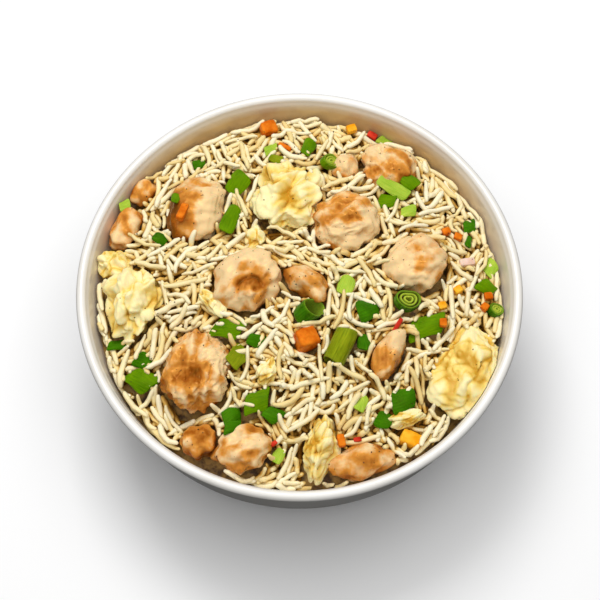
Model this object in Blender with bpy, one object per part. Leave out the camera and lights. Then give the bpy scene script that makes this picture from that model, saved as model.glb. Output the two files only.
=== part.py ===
"""Fried rice heaped in a plain white bowl, with chicken, egg, spring onion and carrot.

The bowl is a turned profile. The rice is one solid out to its uneven top, with a
pocket for every topping that lies in it. Metres, +Z up, origin under the foot ring.
"""
import math

import bmesh
import bpy
from mathutils import Matrix, Vector, noise

MM = 0.001

# Bowl
RIM_RADIUS = 82.5 * MM
BOWL_HEIGHT = 60.0 * MM
WALL = 3.7 * MM
LEAN = math.radians(12.5)
KNEE_HEIGHT = 33.0 * MM
FOOT_RADIUS = 42.0 * MM
FOOT_HEIGHT = 5.5 * MM
FOOT_WIDTH = 4.5 * MM
FLOOR_HEIGHT = 9.5 * MM
FLOOR_RADIUS = 34.0 * MM
FLOOR_DISH = 0.4 * MM
FOOT_EDGE = 0.6 * MM
FOOT_SLOPE = 1.2 * MM
FOOT_INSIDE_HEIGHT = 3.2 * MM
UNDERSIDE_HEIGHT = 3.8 * MM
KNEE_ARM = 0.62
FOOT_ARM = 0.45
FOOT_ARM_RISE = 0.02
TURN_STEPS = 48
LIP_STEPS = 4
OUTSIDE_POINTS = 6
INSIDE_POINTS = 5
MERGE_DISTANCE = 0.05 * MM

# Rice heap
GAP = 0.35 * MM
HEAP_DROP = 11.0 * MM
HEAP_RISE = 12.5 * MM
HEAP_RINGS = 9
UNEVEN = 1.1 * MM
UNEVEN_PITCH = 11.0 * MM
UNEVEN_LOST_AT_WALL = 0.6
SURFACE_TOLERANCE = 0.1 * MM

# Toppings
LUMP_SEGMENTS = 12
LUMP_RINGS = 7
POCKET_GROWTH = 0.45 * MM
TUBE_SEGMENTS = 10
BLOCKY_POWER = 0.82
RIDGES_ALONG = 5.0
RIDGES_ACROSS = 3.0
CURD_BASE = 0.84
LOBE_SWELL = 0.22
LOBE_POWER = 3

COLOURS = {
    "ceramic": ((0.84, 0.83, 0.80), 0.12),
    "rice": ((0.72, 0.58, 0.36), 0.42),
    "chicken": ((0.66, 0.42, 0.22), 0.45),
    "egg": ((0.86, 0.70, 0.36), 0.40),
    "onion": ((0.30, 0.45, 0.06), 0.35),
    "carrot": ((0.85, 0.30, 0.03), 0.38),
}

# Name, x, y, height of the centre over the heap, half sizes, turn, bend and ridge depth.
CHICKEN = (
    ("chicken_01", -39.0, 33.0, 1.5, (12.5, 10.0, 6.5), 70, 1.0, 0.08),
    ("chicken_02", -17.5, 2.0, 2.0, (11.8, 9.8, 7.0), 35, 1.5, 0.10),
    ("chicken_03", 18.0, 25.5, 2.2, (11.6, 10.6, 7.5), 10, 0.3, 0.05),
    ("chicken_04", 34.0, 52.0, 1.8, (10.6, 8.6, 6.2), -15, 0.6, 0.07),
    ("chicken_05", 43.5, 9.5, 2.0, (11.0, 10.6, 7.0), 50, 0.4, 0.05),
    ("chicken_06", -37.5, -32.5, 1.8, (14.0, 10.6, 7.0), 78, 1.2, 0.09),
    ("chicken_07", 31.5, -26.5, 1.5, (10.0, 4.6, 5.0), 68, 0.5, 0.05),
    ("chicken_08", -19.5, -60.5, 1.4, (9.6, 8.0, 6.0), 20, 0.8, 0.08),
    ("chicken_09", 22.5, -65.0, 1.2, (10.6, 5.6, 5.2), 12, 0.5, 0.06),
    ("chicken_10", -66.0, 27.5, 1.4, (8.0, 4.8, 4.6), 62, 0.6, 0.06),
    ("chicken_11", -36.0, -57.5, 0.8, (6.2, 5.6, 4.8), 30, 0.4, 0.07),
    ("chicken_12", 3.0, 0.5, 1.6, (8.4, 5.0, 5.0), -35, 0.6, 0.06),
    ("chicken_13", 17.5, 52.0, 0.8, (5.0, 4.2, 4.0), 15, 0.3, 0.05),
    ("chicken_14", -59.5, 43.5, 0.9, (5.2, 4.2, 4.0), 55, 0.3, 0.05),
)

# Name, x, y, height of the centre over the heap, half sizes, turn, lobes and seed.
EGG = (
    ("egg_01", -4.0, 35.5, 1.8, (13.4, 10.2, 7.0), 84, 9, 3),
    ("egg_02", -60.5, -5.0, 1.5, (11.4, 8.8, 6.4), 75, 8, 5),
    ("egg_03", -69.0, 12.0, 1.0, (5.6, 5.4, 4.6), 0, 6, 8),
    ("egg_04", 60.5, -29.0, 1.4, (15.0, 10.4, 5.6), 62, 7, 13),
    ("egg_05", 7.5, -60.0, 1.4, (9.6, 5.8, 5.6), 82, 7, 21),
)

# Name, x, y, height of the centre over the heap, radius, length, turn and tilt of the tube.
ONION = (
    ("onion_01", 3.5, -11.5, 0.6, 4.4, 7.0, 20, 40),
    ("onion_02", 15.0, -25.0, 1.4, 4.6, 13.0, 65, 80),
    ("onion_03", 39.5, -6.5, 1.5, 4.3, 4.0, 0, 15),
    ("onion_04", 46.5, -15.5, 1.6, 4.2, 9.0, 15, 75),
    ("onion_05", -26.0, -17.5, 1.4, 4.0, 8.0, -10, 70),
    ("onion_06", -15.5, -45.0, 1.4, 4.0, 5.0, 20, 35),
    ("onion_07", -23.5, 43.0, 1.3, 4.0, 5.0, 45, 30),
    ("onion_08", -57.5, -34.5, 1.2, 4.2, 7.0, -35, 60),
)
ONION_WALL = 1.2

# Name, x, y, height of the centre over the heap, size along each edge, turn and tilt.
CARROT = (
    ("carrot_01", 2.5, -22.0, 1.8, (8.2, 7.2, 6.4), 25, 12),
    ("carrot_02", 40.0, -57.0, 1.2, (8.0, 5.6, 5.0), -20, 10),
)
CARROT_BEVEL = 0.7


def clear_scene():
    for obj in list(bpy.data.objects):
        bpy.data.objects.remove(obj, do_unlink=True)


def make_material(name):
    colour, roughness = COLOURS[name]
    material = bpy.data.materials.new(name)
    material.use_nodes = True
    shader = material.node_tree.nodes["Principled BSDF"]
    shader.inputs["Base Color"].default_value = (*colour, 1.0)
    shader.inputs["Roughness"].default_value = roughness
    shader.inputs["Metallic"].default_value = 0.0
    return material


def add_object(name, mesh_or_bmesh, material):
    mesh = mesh_or_bmesh
    if isinstance(mesh, bmesh.types.BMesh):
        mesh = bpy.data.meshes.new(name)
        mesh_or_bmesh.to_mesh(mesh)
        mesh_or_bmesh.free()
    obj = bpy.data.objects.new(name, mesh)
    bpy.context.scene.collection.objects.link(obj)
    mesh.materials.append(material)
    mesh.shade_smooth()
    return obj


def bezier(start, start_arm, end_arm, end, count):
    """Points after start, up to and with end, on a cubic Bezier curve."""
    points = []
    for i in range(1, count + 1):
        t = i / count
        s = 1.0 - t
        weights = (s ** 3, 3 * s * s * t, 3 * s * t * t, t ** 3)
        corners = (start, start_arm, end_arm, end)
        points.append(tuple(sum(w * p[k] for w, p in zip(weights, corners)) for k in (0, 1)))
    return points


def side_curve(shift, foot_radius, foot_height, count):
    """The bowl's side, moved in by shift: down the leaning wall, then in to the foot."""
    top = RIM_RADIUS - shift / math.cos(LEAN)
    knee = (top - (BOWL_HEIGHT - KNEE_HEIGHT) * math.tan(LEAN), KNEE_HEIGHT)
    reach = knee[0] - foot_radius
    arm = KNEE_ARM * reach
    start_arm = (knee[0] - arm * math.sin(LEAN), KNEE_HEIGHT - arm * math.cos(LEAN))
    end_arm = (foot_radius + FOOT_ARM * reach, foot_height + FOOT_ARM_RISE * reach)
    return [knee] + bezier(knee, start_arm, end_arm, (foot_radius, foot_height), count)


def inner_radius(height):
    """Radius of the bowl's inside on its leaning wall at this height."""
    return RIM_RADIUS - WALL / math.cos(LEAN) - (BOWL_HEIGHT - height) * math.tan(LEAN)


def heap_height(x, y):
    """Height of the heap's smooth dome, highest in the middle of the bowl."""
    edge = inner_radius(BOWL_HEIGHT - HEAP_DROP)
    part = min(1.0, math.hypot(x, y) / edge)
    return BOWL_HEIGHT - HEAP_DROP + HEAP_RISE * (1.0 - part * part)


def finish_faces(shape):
    """Flat triangles facing out, so a piece and its pocket break their faces the same way."""
    bmesh.ops.recalc_face_normals(shape, faces=shape.faces)
    bmesh.ops.triangulate(shape, faces=shape.faces)


def profile_object(name, points, material):
    """Turn a profile, listed from its inner end over the top and down outside, round Z."""
    mesh = bpy.data.meshes.new(name)
    edges = [(i, i + 1) for i in range(len(points) - 1)]
    mesh.from_pydata([(r, 0.0, z) for r, z in points], edges, [])
    obj = add_object(name, mesh, material)
    screw = obj.modifiers.new("Turned", "SCREW")
    screw.axis = "Z"
    screw.steps = TURN_STEPS
    screw.render_steps = TURN_STEPS
    screw.use_merge_vertices = True
    screw.merge_threshold = MERGE_DISTANCE
    screw.use_smooth_shade = True
    return obj


def make_bowl(material):
    outer = side_curve(0.0, FOOT_RADIUS, FOOT_HEIGHT, OUTSIDE_POINTS)
    inner = side_curve(WALL, FLOOR_RADIUS, FLOOR_HEIGHT + FLOOR_DISH, INSIDE_POINTS)
    centre = RIM_RADIUS - 0.5 * WALL / math.cos(LEAN)
    lip_height = BOWL_HEIGHT - 0.5 * WALL
    lip = []
    for step in range(LIP_STEPS + 1):
        angle = math.pi * (1.0 - step / LIP_STEPS)
        lip.append((centre + 0.5 * WALL * math.cos(angle), lip_height + 0.5 * WALL * math.sin(angle)))
    foot_inside = FOOT_RADIUS - FOOT_WIDTH
    foot = [
        (FOOT_RADIUS - FOOT_EDGE, 0.0),
        (foot_inside, 0.0),
        (foot_inside - FOOT_SLOPE, FOOT_INSIDE_HEIGHT),
        (0.0, UNDERSIDE_HEIGHT),
    ]
    points = [(0.0, FLOOR_HEIGHT)] + inner[::-1] + lip + outer + foot
    return profile_object("bowl", points, material)


def make_heap(material):
    """A dome on top and the bowl's own inside underneath, a small gap away."""
    edge_height = BOWL_HEIGHT - HEAP_DROP
    edge = inner_radius(edge_height) - GAP
    top = []
    for ring in range(HEAP_RINGS + 1):
        radius = edge * ring / HEAP_RINGS
        top.append((radius, heap_height(radius, 0.0)))
    inside = side_curve(WALL + GAP, FLOOR_RADIUS - GAP, FLOOR_HEIGHT + FLOOR_DISH + GAP, INSIDE_POINTS)
    under = inside + [(0.0, FLOOR_HEIGHT + GAP)]
    shape = bmesh.new()
    chain = [shape.verts.new((r, 0.0, z)) for r, z in top + under]
    edges = [shape.edges.new(pair) for pair in zip(chain, chain[1:])]
    bmesh.ops.spin(
        shape,
        geom=chain + edges,
        cent=(0.0, 0.0, 0.0),
        axis=(0.0, 0.0, 1.0),
        angle=math.tau,
        steps=TURN_STEPS,
        use_merge=True,
    )
    bmesh.ops.remove_doubles(shape, verts=shape.verts, dist=MERGE_DISTANCE)
    for vert in shape.verts:
        radius = math.hypot(vert.co.x, vert.co.y)
        if vert.co.z < edge_height - SURFACE_TOLERANCE:
            continue
        calm = 1.0 - UNEVEN_LOST_AT_WALL * (radius / edge) ** 4
        vert.co.z += UNEVEN * calm * noise.noise(vert.co / UNEVEN_PITCH)
    finish_faces(shape)
    return add_object("rice", shape, material)


def place(shape, x, y, lift, turn, tilt=0.0):
    """Turn a shape built round its own middle, and set it in the heap inside the wall."""
    base = Vector((x * MM, y * MM, heap_height(x * MM, y * MM) + lift * MM))
    spin = Matrix.Rotation(math.radians(turn), 4, "Z")
    lean = Matrix.Rotation(math.radians(tilt), 4, "Y")
    bmesh.ops.transform(shape, matrix=Matrix.Translation(base) @ spin @ lean, verts=shape.verts)
    for vert in shape.verts:
        radius = math.hypot(vert.co.x, vert.co.y)
        limit = inner_radius(vert.co.z) - GAP
        if radius > limit:
            vert.co.x *= limit / radius
            vert.co.y *= limit / radius
    finish_faces(shape)
    return shape


def unit_ball():
    shape = bmesh.new()
    bmesh.ops.create_uvsphere(shape, u_segments=LUMP_SEGMENTS, v_segments=LUMP_RINGS, radius=1.0)
    return shape


def chicken_shape(half, bend, ridge):
    """A blocky cut of meat, ridged across its grain and curled round its long side."""
    shape = unit_ball()
    length, width, height = (size * MM for size in half)
    curl = 2.0 * length / bend
    for vert in shape.verts:
        blocky = Vector(math.copysign(abs(part) ** BLOCKY_POWER, part) for part in vert.co)
        swell = 1.0 + ridge * math.sin(RIDGES_ALONG * blocky.x + RIDGES_ACROSS * blocky.y)
        along = blocky.x * length * swell
        across = blocky.y * width * swell
        angle = along / curl
        vert.co.x = (curl + across) * math.sin(angle)
        vert.co.y = (curl + across) * math.cos(angle) - curl
        vert.co.z = blocky.z * height * swell
    return shape


def egg_shape(half, lobes, seed):
    """A soft curd: a rounded lump that swells to a lobe in evenly spread directions."""
    shape = unit_ball()
    golden = math.pi * (3.0 - math.sqrt(5.0))
    directions = []
    for i in range(lobes):
        level = 1.0 - 2.0 * (i + 0.5) / lobes
        flat = math.sqrt(1.0 - level * level)
        angle = golden * i + seed
        directions.append(Vector((flat * math.cos(angle), flat * math.sin(angle), level)))
    for vert in shape.verts:
        nearest = max(vert.co.dot(direction) for direction in directions)
        swell = CURD_BASE + LOBE_SWELL * nearest ** LOBE_POWER
        vert.co = Vector(part * size * MM * swell for part, size in zip(vert.co, half))
    return shape


def onion_shape(radius, length):
    """A short cut of hollow green stem, its bore open at both ends."""
    shape = bmesh.new()
    inside = (radius - ONION_WALL) * MM
    outside = radius * MM
    half = 0.5 * length * MM
    corners = ((inside, -half), (outside, -half), (outside, half), (inside, half))
    ring = [shape.verts.new((r, 0.0, z)) for r, z in corners]
    edges = [shape.edges.new((ring[i], ring[(i + 1) % 4])) for i in range(4)]
    bmesh.ops.spin(
        shape,
        geom=ring + edges,
        cent=(0.0, 0.0, 0.0),
        axis=(0.0, 0.0, 1.0),
        angle=math.tau,
        steps=TUBE_SEGMENTS,
        use_merge=True,
    )
    bmesh.ops.remove_doubles(shape, verts=shape.verts, dist=MERGE_DISTANCE)
    return shape


def carrot_shape(sides):
    """A diced cube with its edges knocked round."""
    shape = bmesh.new()
    bmesh.ops.create_cube(shape, size=1.0)
    bmesh.ops.scale(shape, vec=[side * MM for side in sides], verts=shape.verts)
    bmesh.ops.bevel(shape, geom=shape.edges[:], offset=CARROT_BEVEL * MM, segments=1, affect="EDGES")
    return shape


def cut_pocket(name, shape, material, heap):
    """Cut the shape out of the heap, and keep the cutter as a hidden wire object."""
    cutter = add_object(name + "_pocket", shape, material)
    cutter.hide_render = True
    cutter.display_type = "WIRE"
    cut = heap.modifiers.new(name, "BOOLEAN")
    cut.operation = "DIFFERENCE"
    cut.solver = "EXACT"
    cut.object = cutter


def grown(shape):
    """A copy of the shape, pushed out along its normals to the size of its pocket."""
    pocket = shape.copy()
    pocket.normal_update()
    moves = [(vert, vert.normal * POCKET_GROWTH) for vert in pocket.verts]
    for vert, move in moves:
        vert.co += move
    return pocket


def plug_shape(radius, length):
    """A tube's pocket is a solid plug, so no thin core of rice is left in its bore."""
    shape = bmesh.new()
    bmesh.ops.create_cone(
        shape,
        cap_ends=True,
        segments=TUBE_SEGMENTS,
        radius1=radius * MM + POCKET_GROWTH,
        radius2=radius * MM + POCKET_GROWTH,
        depth=length * MM + 2.0 * POCKET_GROWTH,
    )
    return shape


def make_toppings(materials, heap):
    for name, x, y, lift, half, turn, bend, ridge in CHICKEN:
        shape = place(chicken_shape(half, bend, ridge), x, y, lift, turn)
        cut_pocket(name, grown(shape), materials["chicken"], heap)
        add_object(name, shape, materials["chicken"])
    for name, x, y, lift, half, turn, lobes, seed in EGG:
        shape = place(egg_shape(half, lobes, seed), x, y, lift, turn)
        cut_pocket(name, grown(shape), materials["egg"], heap)
        add_object(name, shape, materials["egg"])
    for name, x, y, lift, radius, length, turn, tilt in ONION:
        plug = place(plug_shape(radius, length), x, y, lift, turn, tilt)
        cut_pocket(name, plug, materials["onion"], heap)
        shape = place(onion_shape(radius, length), x, y, lift, turn, tilt)
        add_object(name, shape, materials["onion"])
    for name, x, y, lift, sides, turn, tilt in CARROT:
        shape = place(carrot_shape(sides), x, y, lift, turn, tilt)
        cut_pocket(name, grown(shape), materials["carrot"], heap)
        add_object(name, shape, materials["carrot"])


def main():
    clear_scene()
    materials = {name: make_material(name) for name in COLOURS}
    make_bowl(materials["ceramic"])
    heap = make_heap(materials["rice"])
    make_toppings(materials, heap)


main()
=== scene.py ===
"""Fried rice in a white bowl: the looks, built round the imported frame.

The bowl is a turned wall, the rice is a pile of single cooked grains laid one by one
on a dark core, and chicken, egg, spring onion and carrot lie half sunk in it.
Lengths are written in millimetres and turned to metres when a mesh is made.
"""

import logging
import math
from dataclasses import dataclass, field
from enum import Enum

import bpy
import numpy as np
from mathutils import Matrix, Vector

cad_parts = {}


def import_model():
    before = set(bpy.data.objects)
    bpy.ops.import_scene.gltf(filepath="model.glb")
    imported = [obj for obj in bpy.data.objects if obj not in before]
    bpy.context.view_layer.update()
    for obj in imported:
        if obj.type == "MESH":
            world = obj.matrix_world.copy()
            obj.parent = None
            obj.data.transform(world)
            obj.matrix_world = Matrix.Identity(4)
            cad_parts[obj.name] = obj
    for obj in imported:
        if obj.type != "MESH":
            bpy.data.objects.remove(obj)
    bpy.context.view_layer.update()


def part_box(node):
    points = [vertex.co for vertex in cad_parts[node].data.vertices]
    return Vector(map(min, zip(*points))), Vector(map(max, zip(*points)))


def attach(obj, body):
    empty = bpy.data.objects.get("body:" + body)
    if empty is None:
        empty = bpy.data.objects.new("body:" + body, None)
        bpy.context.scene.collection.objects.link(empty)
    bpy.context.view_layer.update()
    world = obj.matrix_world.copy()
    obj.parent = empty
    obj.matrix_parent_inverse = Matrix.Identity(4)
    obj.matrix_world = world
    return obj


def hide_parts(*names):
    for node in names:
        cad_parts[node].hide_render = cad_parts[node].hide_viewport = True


MM = 0.001
LOG = logging.getLogger("fried_rice")
Array = np.ndarray
Socket = bpy.types.NodeSocket


# ---------------------------------------------------------------- shapes


@dataclass
class Surface:
    """A closed surface: points in millimetres, its faces, and numbers kept at each point."""

    points: Array
    quads: Array
    triangles: Array
    marks: dict[str, Array] = field(default_factory=dict)


def capsule_faces(rings: int, sides: int) -> tuple[Array, Array]:
    """Faces of a tube of rings, closed by a single point at each end.

    Args:
        rings: number of rings along the tube.
        sides: number of points round each ring.

    Returns:
        Quads between the rings, and the triangles of both ends.
    """
    ring = np.arange(rings - 1)[:, None] * sides
    side = np.arange(sides)[None, :]
    after = (side + 1) % sides
    quads = np.stack([ring + side, ring + after, ring + sides + after, ring + sides + side], axis=-1)
    first, last = rings * sides, rings * sides + 1
    row = np.arange(sides)
    turned = (row + 1) % sides
    end = (rings - 1) * sides
    start_fan = np.stack([turned, row, np.full(sides, first)], axis=-1)
    end_fan = np.stack([row + end, turned + end, np.full(sides, last)], axis=-1)
    return quads.reshape(-1, 4), np.concatenate([start_fan, end_fan])


def capsule(grid: Array, first: Array, last: Array) -> Surface:
    """A closed surface from rings of points and its two end points.

    Args:
        grid: points as (rings, sides, 3).
        first: the end point before the first ring.
        last: the end point after the last ring.

    Returns:
        The surface.
    """
    rings, sides = grid.shape[:2]
    points = np.concatenate([grid.reshape(-1, 3), [first], [last]])
    return Surface(points, *capsule_faces(rings, sides))


def ring_tube(grid: Array) -> Surface:
    """A surface that closes on itself both ways, from points as (turns, section, 3).

    Args:
        grid: points as (turns, section, 3).

    Returns:
        The surface.
    """
    turns, section = grid.shape[:2]
    turn = np.arange(turns)[:, None]
    step = np.arange(section)[None, :]
    next_turn, next_step = (turn + 1) % turns, (step + 1) % section
    corners = [turn * section + step, turn * section + next_step,
               next_turn * section + next_step, next_turn * section + step]
    quads = np.stack(np.broadcast_arrays(*corners), axis=-1).reshape(-1, 4)
    return Surface(grid.reshape(-1, 3), quads, np.zeros((0, 3), int))


def ball(rings: int, sides: int) -> Surface:
    """A unit ball: rings of latitude from pole to pole, with a point at each pole.

    Args:
        rings: number of rings between the poles.
        sides: number of points round each ring.

    Returns:
        The ball.
    """
    tilt = np.pi * (np.arange(rings) + 1) / (rings + 1)
    turn = 2 * np.pi * np.arange(sides) / sides
    grid = np.stack([
        np.sin(tilt)[:, None] * np.cos(turn)[None, :],
        np.sin(tilt)[:, None] * np.sin(turn)[None, :],
        np.repeat(-np.cos(tilt)[:, None], sides, axis=1),
    ], axis=-1)
    return capsule(grid, np.array([0, 0, -1.0]), np.array([0, 0, 1.0]))


def turned(profile: Array, sides: int) -> Surface:
    """Turns a profile of (radius, height) round Z; its first and last points lie on the axis.

    Args:
        profile: points as (n, 2), from the axis out and back to the axis.
        sides: number of points round each ring.

    Returns:
        The turned surface.
    """
    turn = 2 * np.pi * np.arange(sides) / sides
    radius, height = profile[1:-1, 0], profile[1:-1, 1]
    grid = np.stack([
        radius[:, None] * np.cos(turn)[None, :],
        radius[:, None] * np.sin(turn)[None, :],
        np.repeat(height[:, None], sides, axis=1),
    ], axis=-1)
    return capsule(grid, np.array([0, 0, profile[0, 1]]), np.array([0, 0, profile[-1, 1]]))


def waves(points: Array, pitch: float, seed: int, count: int = 9) -> Array:
    """Smooth noise from about -1 to 1: the sum of sine waves in random directions.

    Args:
        points: where to read it, as (..., 3), in millimetres.
        pitch: the length of one wave, in millimetres.
        seed: picks the directions and phases.
        count: number of waves.

    Returns:
        One number for each point.
    """
    rng = np.random.default_rng(seed)
    direction = rng.normal(size=(count, 3))
    direction /= np.linalg.norm(direction, axis=1)[:, None]
    rate = 2 * np.pi / pitch * rng.uniform(0.7, 1.4, count)
    phase = rng.uniform(0, 2 * np.pi, count)
    return np.sin(points @ (direction * rate[:, None]).T + phase).sum(axis=-1) / math.sqrt(2.0 * count)


def plates(directions: Array, count: int, seed: int, tilt: float = 0.3) -> tuple[Array, Array]:
    """Flat tilted flakes spread over a ball, with a step or a crease where two of them meet.

    Args:
        directions: unit vectors, as (points, 3).
        count: number of flakes.
        seed: picks where they are and how they tilt.
        tilt: how far a flake leans from facing straight out.

    Returns:
        The distance out to the flakes' planes, about 1, and a crease mark: 0 in the middle of
        a flake, 1 where two meet.
    """
    rng = np.random.default_rng(seed)
    centres = rng.normal(size=(count, 3))
    centres /= np.linalg.norm(centres, axis=1)[:, None]
    facing = centres + tilt * rng.normal(size=(count, 3))
    facing /= np.linalg.norm(facing, axis=1)[:, None]
    level = rng.uniform(0.84, 1.06, count)
    near = directions @ centres.T
    weight = np.exp(6.0 * math.sqrt(count) * (near - near.max(axis=1, keepdims=True)))
    weight /= weight.sum(axis=1, keepdims=True)
    planes = level / np.clip(directions @ facing.T, 0.55, None)
    crease = np.clip(2.0 * (1 - weight.max(axis=1)), 0, 1)
    return np.clip((weight * planes).sum(axis=1), 0.7, 1.25), crease


def turn_matrix(turn: float, lean: float = 0.0, roll: float = 0.0) -> Array:
    """Rotation by roll about X, then lean about Y, then turn about Z, all in degrees.

    Args:
        turn: degrees about Z.
        lean: degrees about Y.
        roll: degrees about X.

    Returns:
        A 3 by 3 matrix.
    """
    a, b, c = (math.radians(v) for v in (turn, lean, roll))
    about_z = np.array([[math.cos(a), -math.sin(a), 0], [math.sin(a), math.cos(a), 0], [0, 0, 1]])
    about_y = np.array([[math.cos(b), 0, math.sin(b)], [0, 1, 0], [-math.sin(b), 0, math.cos(b)]])
    about_x = np.array([[1, 0, 0], [0, math.cos(c), -math.sin(c)], [0, math.sin(c), math.cos(c)]])
    return about_z @ about_y @ about_x


def joined(surfaces: list[Surface]) -> Surface:
    """Several surfaces as one, with the marks that all of them carry.

    Args:
        surfaces: one or more surfaces.

    Returns:
        The one surface.
    """
    starts = np.cumsum([0] + [len(s.points) for s in surfaces[:-1]])
    marks = {key: np.concatenate([s.marks[key] for s in surfaces]) for key in surfaces[0].marks}
    return Surface(
        np.concatenate([s.points for s in surfaces]),
        np.concatenate([s.quads + start for s, start in zip(surfaces, starts)]),
        np.concatenate([s.triangles + start for s, start in zip(surfaces, starts)]),
        marks,
    )


def make_object(name: str, surface: Surface, material: bpy.types.Material) -> bpy.types.Object:
    """Puts a surface into a mesh object at the origin, faces out, shaded smooth.

    Args:
        name: the piece's name.
        surface: its points in millimetres, faces and marks.
        material: its finish.

    Returns:
        The object.
    """
    points = surface.points * MM
    quads, triangles = surface.quads, surface.triangles
    corners = [points[quads[:, [0, 1, 2]]], points[quads[:, [0, 2, 3]]], points[triangles]]
    tri = np.concatenate(corners)
    if np.einsum("ij,ij->i", tri[:, 0], np.cross(tri[:, 1], tri[:, 2])).sum() < 0:
        quads, triangles = quads[:, ::-1], triangles[:, ::-1]
    mesh = bpy.data.meshes.new(name)
    mesh.vertices.add(len(points))
    mesh.vertices.foreach_set("co", points.astype(np.float32).ravel())
    loops = np.concatenate([quads.ravel(), triangles.ravel()]).astype(np.int32)
    starts = np.concatenate([
        np.arange(len(quads)) * 4,
        len(quads) * 4 + np.arange(len(triangles)) * 3,
    ]).astype(np.int32)
    mesh.loops.add(len(loops))
    mesh.loops.foreach_set("vertex_index", loops)
    mesh.polygons.add(len(starts))
    mesh.polygons.foreach_set("loop_start", starts)
    mesh.update(calc_edges=True)
    mesh.validate()
    for key, values in surface.marks.items():
        flat = values.ndim == 1
        attribute = mesh.attributes.new(key, "FLOAT" if flat else "FLOAT_VECTOR", "POINT")
        attribute.data.foreach_set("value" if flat else "vector", values.astype(np.float32).ravel())
    mesh.shade_smooth()
    mesh.materials.append(material)
    piece = bpy.data.objects.new(name, mesh)
    bpy.context.scene.collection.objects.link(piece)
    return piece


def declare(piece: bpy.types.Object, slot: str, *nodes: str) -> None:
    """Rides the piece on the one body, hides the frame's nodes that it stands for, and logs it.

    Args:
        piece: the object.
        slot: the name of its finish slot; not used.
        nodes: the frame's nodes that it stands for.
    """
    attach(piece, "root")
    if nodes:
        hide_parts(*nodes)
    LOG.info("%s: %d faces", piece.name, len(piece.data.polygons))


# ---------------------------------------------------------------- finishes
# In the finishes, each size is that of one feature of a pattern and each depth that of its relief,
# in millimetres. Grain skins, pores and flecks are finer than this on real food, and are drawn as
# coarse as they need to be to show. Roughness runs from the wettest to the driest spots.


def linear(code: str) -> tuple[float, float, float, float]:
    """An sRGB hex colour such as #F2E6D0 as linear red, green, blue and full alpha.

    Args:
        code: the colour, with its # sign.

    Returns:
        Four numbers from 0 to 1.
    """
    parts = [int(code[i:i + 2], 16) / 255 for i in (1, 3, 5)]
    red, green, blue = (p / 12.92 if p <= 0.04045 else ((p + 0.055) / 1.055) ** 2.4 for p in parts)
    return red, green, blue, 1.0


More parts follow.
